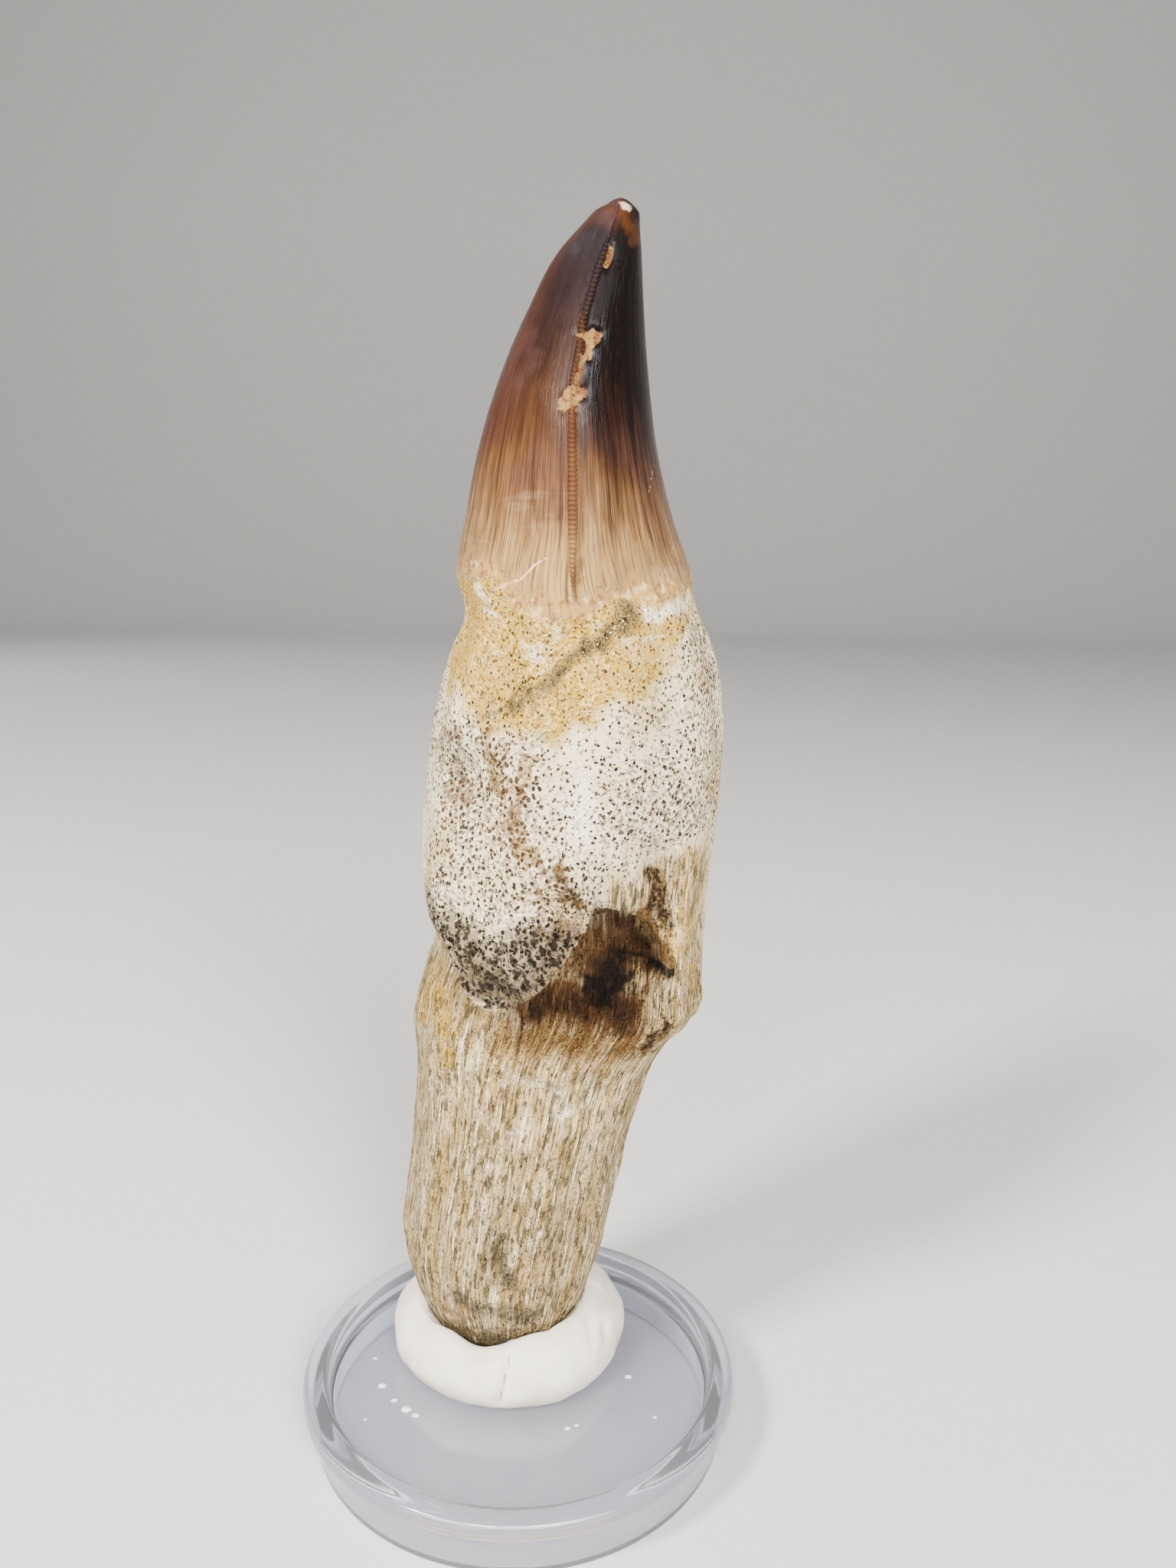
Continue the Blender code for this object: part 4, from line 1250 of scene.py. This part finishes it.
def fossil_material(colours):
    """Fossil enamel and bone.

    The crown is polished brown enamel, glossy under fine lengthwise lines, with painted shade darkening its
    right side.
    The root is chalky porous bone, dull, with brown in its pores, and iron stains and sand in its hollows.
    Painted shade darkens the pit and the lobe's right flank, a painted highlight lightens the upper root's
    front, and a painted glint partly lightens the crown's tip.
    """
    known = bpy.data.materials.get("fossil_enamel_and_bone")
    if known:
        return known
    material, shader = new_material("fossil_enamel_and_bone")
    patterns = make_patterns(material)
    bone = lay_colours(material, patterns, tuple(colours.bone), BONE_LAYERS)
    enamel = lay_colours(material, patterns, enamel_by_height(material, patterns), ENAMEL_LAYERS)
    filling = lay_colours(material, patterns, tuple(colours.chip), CHIP_LAYERS)
    is_enamel = cut_pattern(material, patterns, "enamel", 1.0, "speck", 0.30, 0.60)
    is_chip = cut_pattern(material, patterns, "chip", 1.0, "speck", 0.85, 1.1)
    colour, rough = bone, BONE_ROUGHNESS
    covers = ((is_enamel, enamel, ENAMEL_ROUGHNESS), (is_chip, filling, FILLING_ROUGHNESS))
    for share, over, over_rough in covers:
        links = {0: share, 6: colour, 7: over}
        colour = add_node(material, "ShaderNodeMix", {"data_type": "RGBA"}, links).outputs[2]
        rough = add_node(material, "ShaderNodeMix", links={0: share, 2: rough, 3: over_rough}).outputs[0]
    uneven = {0: patterns["blotch"], 1: ROUGHNESS_WANDER, 2: rough}
    rough = add_node(material, "ShaderNodeMath", {"operation": "MULTIPLY_ADD"}, uneven).outputs[0]
    centred = {0: rough, 1: ROUGHNESS_WANDER / 2.0}
    rough = add_node(material, "ShaderNodeMath", {"operation": "SUBTRACT"}, centred).outputs[0]
    material.node_tree.links.new(colour, shader.inputs["Base Color"])
    material.node_tree.links.new(rough, shader.inputs["Roughness"])
    shader.inputs["IOR"].default_value = 1.5
    shader.inputs["Specular IOR Level"].default_value = 0.4
    bare = add_node(material, "ShaderNodeMath", {"operation": "SUBTRACT"}, {0: 1.0, 1: is_enamel}).outputs[0]
    normal = None
    for mask, gain, pattern, low, high, depth in BUMPS:
        height = cut_pattern(material, patterns, mask, gain, pattern, low, high)
        links = {0: height, 1: bare}
        height = add_node(material, "ShaderNodeMath", {"operation": "MULTIPLY"}, links).outputs[0]
        links = {"Height": height, "Distance": abs(depth) * MM, "Strength": 1.0}
        if normal is not None:
            links["Normal"] = normal
        normal = add_node(material, "ShaderNodeBump", {"invert": depth < 0.0}, links).outputs[0]
    lines = {0: patterns["hair"], 1: is_enamel}
    lines = add_node(material, "ShaderNodeMath", {"operation": "MULTIPLY"}, lines).outputs[0]
    links = {"Height": lines, "Distance": HAIRLINE_DEPTH * MM, "Strength": 1.0, "Normal": normal}
    normal = add_node(material, "ShaderNodeBump", links=links).outputs[0]
    material.node_tree.links.new(normal, shader.inputs["Normal"])
    return material


def putty_material(colours):
    """Reusable modelling putty, pressed by hand: matt warm white, a little light let in, faint smears."""
    known = bpy.data.materials.get("white_modelling_putty")
    if known:
        return known
    material, shader = new_material("white_modelling_putty")
    place = add_node(material, "ShaderNodeTexCoord").outputs["Object"]
    smear, skin = [
        add_node(
            material, "ShaderNodeTexNoise", links={"Vector": place, "Scale": 1.0 / (size * MM), "Detail": 4.0}
        ).outputs["Fac"]
        for size in (5.0, 0.6)
    ]
    smooth_step = {"interpolation_type": "SMOOTHSTEP"}
    # smudges, and painted shade where the putty meets the root and in its crack
    grime_and_shade = add_node(material, "ShaderNodeAttribute", {"attribute_name": "grime_and_shade"}).outputs["Fac"]
    grime_and_shade = add_node(material, "ShaderNodeMath", {"operation": "ADD"}, {0: grime_and_shade, 1: skin}).outputs[0]
    links = {"Value": grime_and_shade, "From Min": 1.05, "From Max": 1.5, "To Max": 0.8}
    grime_and_shade = add_node(material, "ShaderNodeMapRange", smooth_step, links).outputs[0]
    links = {"Value": smear, "From Min": 0.45, "From Max": 0.75, "To Max": 0.5}
    share = add_node(material, "ShaderNodeMapRange", smooth_step, links).outputs[0]
    links = {0: share, 6: tuple(colours.putty), 7: linear(PUTTY_SMEAR)}
    colour = add_node(material, "ShaderNodeMix", {"data_type": "RGBA"}, links).outputs[2]
    links = {0: grime_and_shade, 6: colour, 7: linear(PUTTY_GRIME_AND_SHADE)}
    colour = add_node(material, "ShaderNodeMix", {"data_type": "RGBA"}, links).outputs[2]
    least, most = PUTTY_ROUGHNESS
    links = {"Value": skin, "From Min": 0.3, "From Max": 0.7, "To Min": least, "To Max": most}
    rough = add_node(material, "ShaderNodeMapRange", smooth_step, links).outputs[0]
    links = {"Height": skin, "Distance": PUTTY_SKIN_DEPTH * MM, "Strength": 0.6}
    normal = add_node(material, "ShaderNodeBump", links=links)
    material.node_tree.links.new(colour, shader.inputs["Base Color"])
    material.node_tree.links.new(rough, shader.inputs["Roughness"])
    material.node_tree.links.new(normal.outputs[0], shader.inputs["Normal"])
    shader.inputs["Subsurface Weight"].default_value = 0.12
    shader.inputs["Subsurface Radius"].default_value = (1.6, 1.2, 0.9)
    shader.inputs["Subsurface Scale"].default_value = 1.2 * MM
    return material


def clear_material(colours):
    """Clear moulded polystyrene: bright and see-through, with a cool tint where it is thick.

    A faint haze stands for handling. Part of the light is scattered and not let through, as in a lid with
    fine scratches, which also keeps the rim's refractions from going black.
    """
    material, shader = new_material("clear_moulded_polystyrene")
    place = add_node(material, "ShaderNodeTexCoord").outputs["Object"]
    links = {"Vector": place, "Scale": 1.0 / (CAP_HAZE_SIZE * MM), "Detail": 6.0}
    haze = add_node(material, "ShaderNodeTexNoise", links=links).outputs["Fac"]
    least, most = CAP_ROUGHNESS
    links = {"Value": haze, "From Min": 0.45, "From Max": 0.75, "To Min": least, "To Max": most}
    rough = add_node(material, "ShaderNodeMapRange", {"interpolation_type": "SMOOTHSTEP"}, links).outputs[0]
    material.node_tree.links.new(rough, shader.inputs["Roughness"])
    shader.inputs["Base Color"].default_value = (*colours.plastic, 1.0)
    shader.inputs["Transmission Weight"].default_value = CAP_TRANSMISSION
    shader.inputs["IOR"].default_value = 1.49
    return material


def floor_material():
    """Matt pale paper, as a studio sweep."""
    material, shader = new_material("pale_paper_sweep")
    shader.inputs["Base Color"].default_value = linear("#d9d8d6")
    shader.inputs["Roughness"].default_value = 0.9
    return material


# Floor and wall, in metres: the floor's start, its bend and the bend's radius, the wall's top, half its width
FLOOR_FRONT = -1.6
FLOOR_BACK = 0.75
FLOOR_BEND = 0.35
WALL_TOP = 1.9
FLOOR_HALF_WIDTH = 2.0


def build_floor():
    """A profile carried sideways: flat under the object, then an arc up to a wall behind it, in metres."""
    run = np.linspace(0.0, math.pi / 2.0, 33)
    depth = np.concatenate([[FLOOR_FRONT], FLOOR_BACK + FLOOR_BEND * np.sin(run), [FLOOR_BACK + FLOOR_BEND]])
    height = np.concatenate([[0.0], FLOOR_BEND * (1.0 - np.cos(run)), [WALL_TOP]])
    wide = np.array([-FLOOR_HALF_WIDTH, FLOOR_HALF_WIDTH])
    x, y = np.meshgrid(wide, depth)
    z = np.broadcast_to(height[:, None], x.shape)
    points = np.stack([x, y, z], axis=-1).reshape(-1, 3)
    index = np.arange(len(points)).reshape(x.shape)
    faces = np.stack([index[:-1, 0], index[:-1, 1], index[1:, 1], index[1:, 0]], axis=-1)
    mesh = bpy.data.meshes.new("paper_sweep")
    mesh.from_pydata(points.tolist(), [], faces.tolist())
    mesh.shade_smooth()
    mesh.materials.append(floor_material())
    floor = bpy.data.objects.new("paper_sweep", mesh)
    bpy.context.scene.collection.objects.link(floor)


LIGHTS = (
    # name, place and aim in metres, width and height in metres, watts, colour, seen in reflections
    ("key_softbox", (-0.30, -0.26, 0.40), (0.0, 0.0, 0.06), (0.10, 0.10), 6.0, "#fff9f0", False),
    ("front_softbox", (0.20, -0.50, 0.34), (0.0, 0.0, 0.05), (0.20, 0.20), 7.8, "#fffaf2", False),
    ("back_softbox", (-0.45, 0.45, 0.30), (0.0, 0.0, 0.06), (0.4, 0.4), 0.8, "#f4f2ff", False),
    ("sheen_light", (-0.27, 0.02, 0.50), (0.0, 0.0, 0.10), (0.05, 0.05), 0.28, "#eef0ff", True),
    ("left_strip", (-0.13, -0.42, 0.42), (0.0, 0.0, 0.0), (0.12, 0.03), 1.2, "#ffffff", True),
    ("right_strip", (0.11, -0.42, 0.42), (0.0, 0.0, 0.0), (0.12, 0.03), 1.2, "#ffffff", True),
)


def build_lights(strength):
    """Area lights, each aimed from its place at a point, of strength times its watts."""
    for name, place, aim, size, watts, code, mirrored in LIGHTS:
        light = bpy.data.lights.new(name, "AREA")
        light.shape = "RECTANGLE"
        light.size, light.size_y = size
        light.energy = watts * strength
        light.color = linear(code)[:3]
        lamp = bpy.data.objects.new(name, light)
        lamp.location = place
        lamp.visible_glossy = mirrored
        lamp.rotation_euler = (Vector(aim) - Vector(place)).to_track_quat("-Z", "Y").to_euler()
        bpy.context.scene.collection.objects.link(lamp)


def build_world(strength):
    """Even cool light from all round, of this strength."""
    world = bpy.data.worlds.new("studio_air")
    bpy.context.scene.world = world
    world.use_nodes = True
    background = world.node_tree.nodes["Background"]
    background.inputs["Color"].default_value = linear("#e9ecf2")
    background.inputs["Strength"].default_value = strength


def build_camera():
    """The photograph's view, from a fit to the cap's ellipses: a place, a pitch and a slight roll."""
    pitch, roll = math.radians(CAMERA_PITCH), math.radians(CAMERA_ROLL)
    ahead = Vector((0.0, math.cos(pitch), math.sin(pitch)))
    up = Vector((0.0, -math.sin(pitch), math.cos(pitch)))
    side = Vector((1.0, 0.0, 0.0))
    across = side * math.cos(roll) + up * math.sin(roll)
    upward = up * math.cos(roll) - side * math.sin(roll)
    data = bpy.data.cameras.new("photo_camera")
    data.lens = CAMERA_LENS
    data.sensor_fit = "VERTICAL"
    data.sensor_height = CAMERA_SENSOR
    data.clip_start = 0.005
    camera = bpy.data.objects.new("photo_camera", data)
    turn = Matrix((across, upward, -ahead)).transposed().to_4x4()
    camera.matrix_world = Matrix.Translation(Vector(CAMERA_PLACE) * MM) @ turn
    bpy.context.scene.collection.objects.link(camera)
    bpy.context.scene.camera = camera


class FossilToothColours(bpy.types.PropertyGroup):
    """Colours of the finished surfaces."""

    bone: bpy.props.FloatVectorProperty(
        name="Chalky bone", description="Pale ground of the root", subtype="COLOR", size=4,
        default=linear("#f1e3bf"), min=0.0, max=1.0,
    )
    chip: bpy.props.FloatVectorProperty(
        name="Chips", description="Filled chips on the keel", subtype="COLOR", size=4,
        default=linear("#8f6e42"), min=0.0, max=1.0,
    )
    putty: bpy.props.FloatVectorProperty(
        name="Putty", description="The white putty collar", subtype="COLOR", size=4,
        default=linear("#f2ece0"), min=0.0, max=1.0,
    )
    plastic: bpy.props.FloatVectorProperty(
        name="Clear plastic", description="Tint of the cap", subtype="COLOR", size=3,
        default=linear("#eceffb")[:3], min=0.0, max=1.0,
    )


class FossilToothSizes(bpy.types.PropertyGroup):
    """Sizes of the pieces, in metres."""

    relief: bpy.props.FloatProperty(
        name="Relief", description="Factor on the height of pores, fibres and grains",
        default=1.0, min=0.0, max=2.0,
    )
    serration: bpy.props.FloatProperty(
        name="Serration", description="Length of one bead of the keels", unit="LENGTH",
        default=SERRATION * MM, min=0.2 * MM, max=2.0 * MM, precision=5,
    )
    keel_width: bpy.props.FloatProperty(
        name="Keel width", description="Width of the beaded cord", unit="LENGTH",
        default=KEEL_WIDTH * MM, min=0.1 * MM, max=2.0 * MM, precision=5,
    )
    putty_radius: bpy.props.FloatProperty(
        name="Putty radius", description="Half the putty's width", unit="LENGTH",
        default=PUTTY_RADIUS * MM, min=10.0 * MM, max=14.0 * MM, precision=5,
    )
    cap_radius: bpy.props.FloatProperty(
        name="Cap radius", description="Outer radius of the flange", unit="LENGTH",
        default=CAP_RADIUS * MM, min=16.0 * MM, max=40.0 * MM, precision=5,
    )
    cap_height: bpy.props.FloatProperty(
        name="Cap height", description="Height of the lip over the table", unit="LENGTH",
        default=CAP_HEIGHT * MM, min=5.0 * MM, max=20.0 * MM, precision=5,
    )
    plate_top: bpy.props.FloatProperty(
        name="Plate top", description="Height of the plate that the putty is stuck to", unit="LENGTH",
        default=PLATE_TOP * MM, min=3.0 * MM, max=5.0 * MM, precision=5,
    )


class FossilToothLighting(bpy.types.PropertyGroup):
    """Strengths of the studio light."""

    softboxes: bpy.props.FloatProperty(
        name="Softboxes", description="Factor on every softbox's power", default=1.0, min=0.0
    )
    air: bpy.props.FloatProperty(
        name="Air", description="Strength of the even light from all round", default=0.25, min=0.0
    )


class FOSSIL_OT_tooth(bpy.types.Operator):
    """Builds the tooth's surface: crown, keel ridge, porous root, pit and ledges"""

    bl_idname = "fossil.tooth"
    bl_label = "Build Tooth"

    def execute(self, context):
        build_tooth(fossil_material(context.scene.fossil_colours), context.scene.fossil_sizes.relief)
        return {"FINISHED"}


class FOSSIL_OT_keels(bpy.types.Operator):
    """Builds the two fine serrated keels of the crown"""

    bl_idname = "fossil.keels"
    bl_label = "Build Serrated Keels"

    def execute(self, context):
        material = fossil_material(context.scene.fossil_colours)
        sizes = context.scene.fossil_sizes
        build_keel("front_keel", FRONT_ANGLE, material, sizes.serration, sizes.keel_width)
        build_keel("rear_keel", REAR_ANGLE, material, sizes.serration, sizes.keel_width)
        return {"FINISHED"}


class FOSSIL_OT_putty(bpy.types.Operator):
    """Builds the pressed putty collar and its crumbs"""

    bl_idname = "fossil.putty"
    bl_label = "Build Putty"

    def execute(self, context):
        material = putty_material(context.scene.fossil_colours)
        sizes = context.scene.fossil_sizes
        build_putty(material, sizes.putty_radius, sizes.plate_top)
        build_crumbs(material, sizes.plate_top)
        return {"FINISHED"}


class FOSSIL_OT_cap(bpy.types.Operator):
    """Builds the clear round cap that the tooth stands on"""

    bl_idname = "fossil.cap"
    bl_label = "Build Clear Cap"

    def execute(self, context):
        sizes = context.scene.fossil_sizes
        material = clear_material(context.scene.fossil_colours)
        build_cap(material, sizes.cap_radius, sizes.cap_height, sizes.plate_top)
        return {"FINISHED"}


class FOSSIL_OT_stage(bpy.types.Operator):
    """Builds the pale floor, the studio light and the camera"""

    bl_idname = "fossil.stage"
    bl_label = "Build Stage"

    def execute(self, context):
        build_floor()
        build_lights(context.scene.fossil_lighting.softboxes)
        build_world(context.scene.fossil_lighting.air)
        build_camera()
        return {"FINISHED"}


class FOSSIL_PT_panel(bpy.types.Panel):
    """Lists the pieces, their sizes and colours, and the light"""

    bl_idname = "FOSSIL_PT_panel"
    bl_label = "Fossil Tooth"
    bl_space_type = "VIEW_3D"
    bl_region_type = "UI"
    bl_category = "Fossil Tooth"

    def draw(self, context):
        for operator in OPERATORS:
            self.layout.operator(operator.bl_idname)
        scene = context.scene
        for group in (scene.fossil_sizes, scene.fossil_colours, scene.fossil_lighting):
            for name in group.__annotations__:
                self.layout.prop(group, name)


GROUPS = (FossilToothSizes, FossilToothColours, FossilToothLighting)
OPERATORS = (FOSSIL_OT_tooth, FOSSIL_OT_keels, FOSSIL_OT_putty, FOSSIL_OT_cap, FOSSIL_OT_stage)


def register():
    """Registers the classes, and gives each scene its sizes, colours and lighting."""
    for kind in (*GROUPS, *OPERATORS, FOSSIL_PT_panel):
        bpy.utils.register_class(kind)
    bpy.types.Scene.fossil_sizes = bpy.props.PointerProperty(type=FossilToothSizes)
    bpy.types.Scene.fossil_colours = bpy.props.PointerProperty(type=FossilToothColours)
    bpy.types.Scene.fossil_lighting = bpy.props.PointerProperty(type=FossilToothLighting)


def unregister():
    """Takes back what register did, in the opposite order."""
    del bpy.types.Scene.fossil_lighting
    del bpy.types.Scene.fossil_colours
    del bpy.types.Scene.fossil_sizes
    for kind in reversed((*GROUPS, *OPERATORS, FOSSIL_PT_panel)):
        bpy.utils.unregister_class(kind)


def main():
    register()
    bpy.ops.fossil.tooth()
    bpy.ops.fossil.keels()
    bpy.ops.fossil.putty()
    bpy.ops.fossil.cap()
    bpy.ops.fossil.stage()


if __name__ == "__main__":
    main()
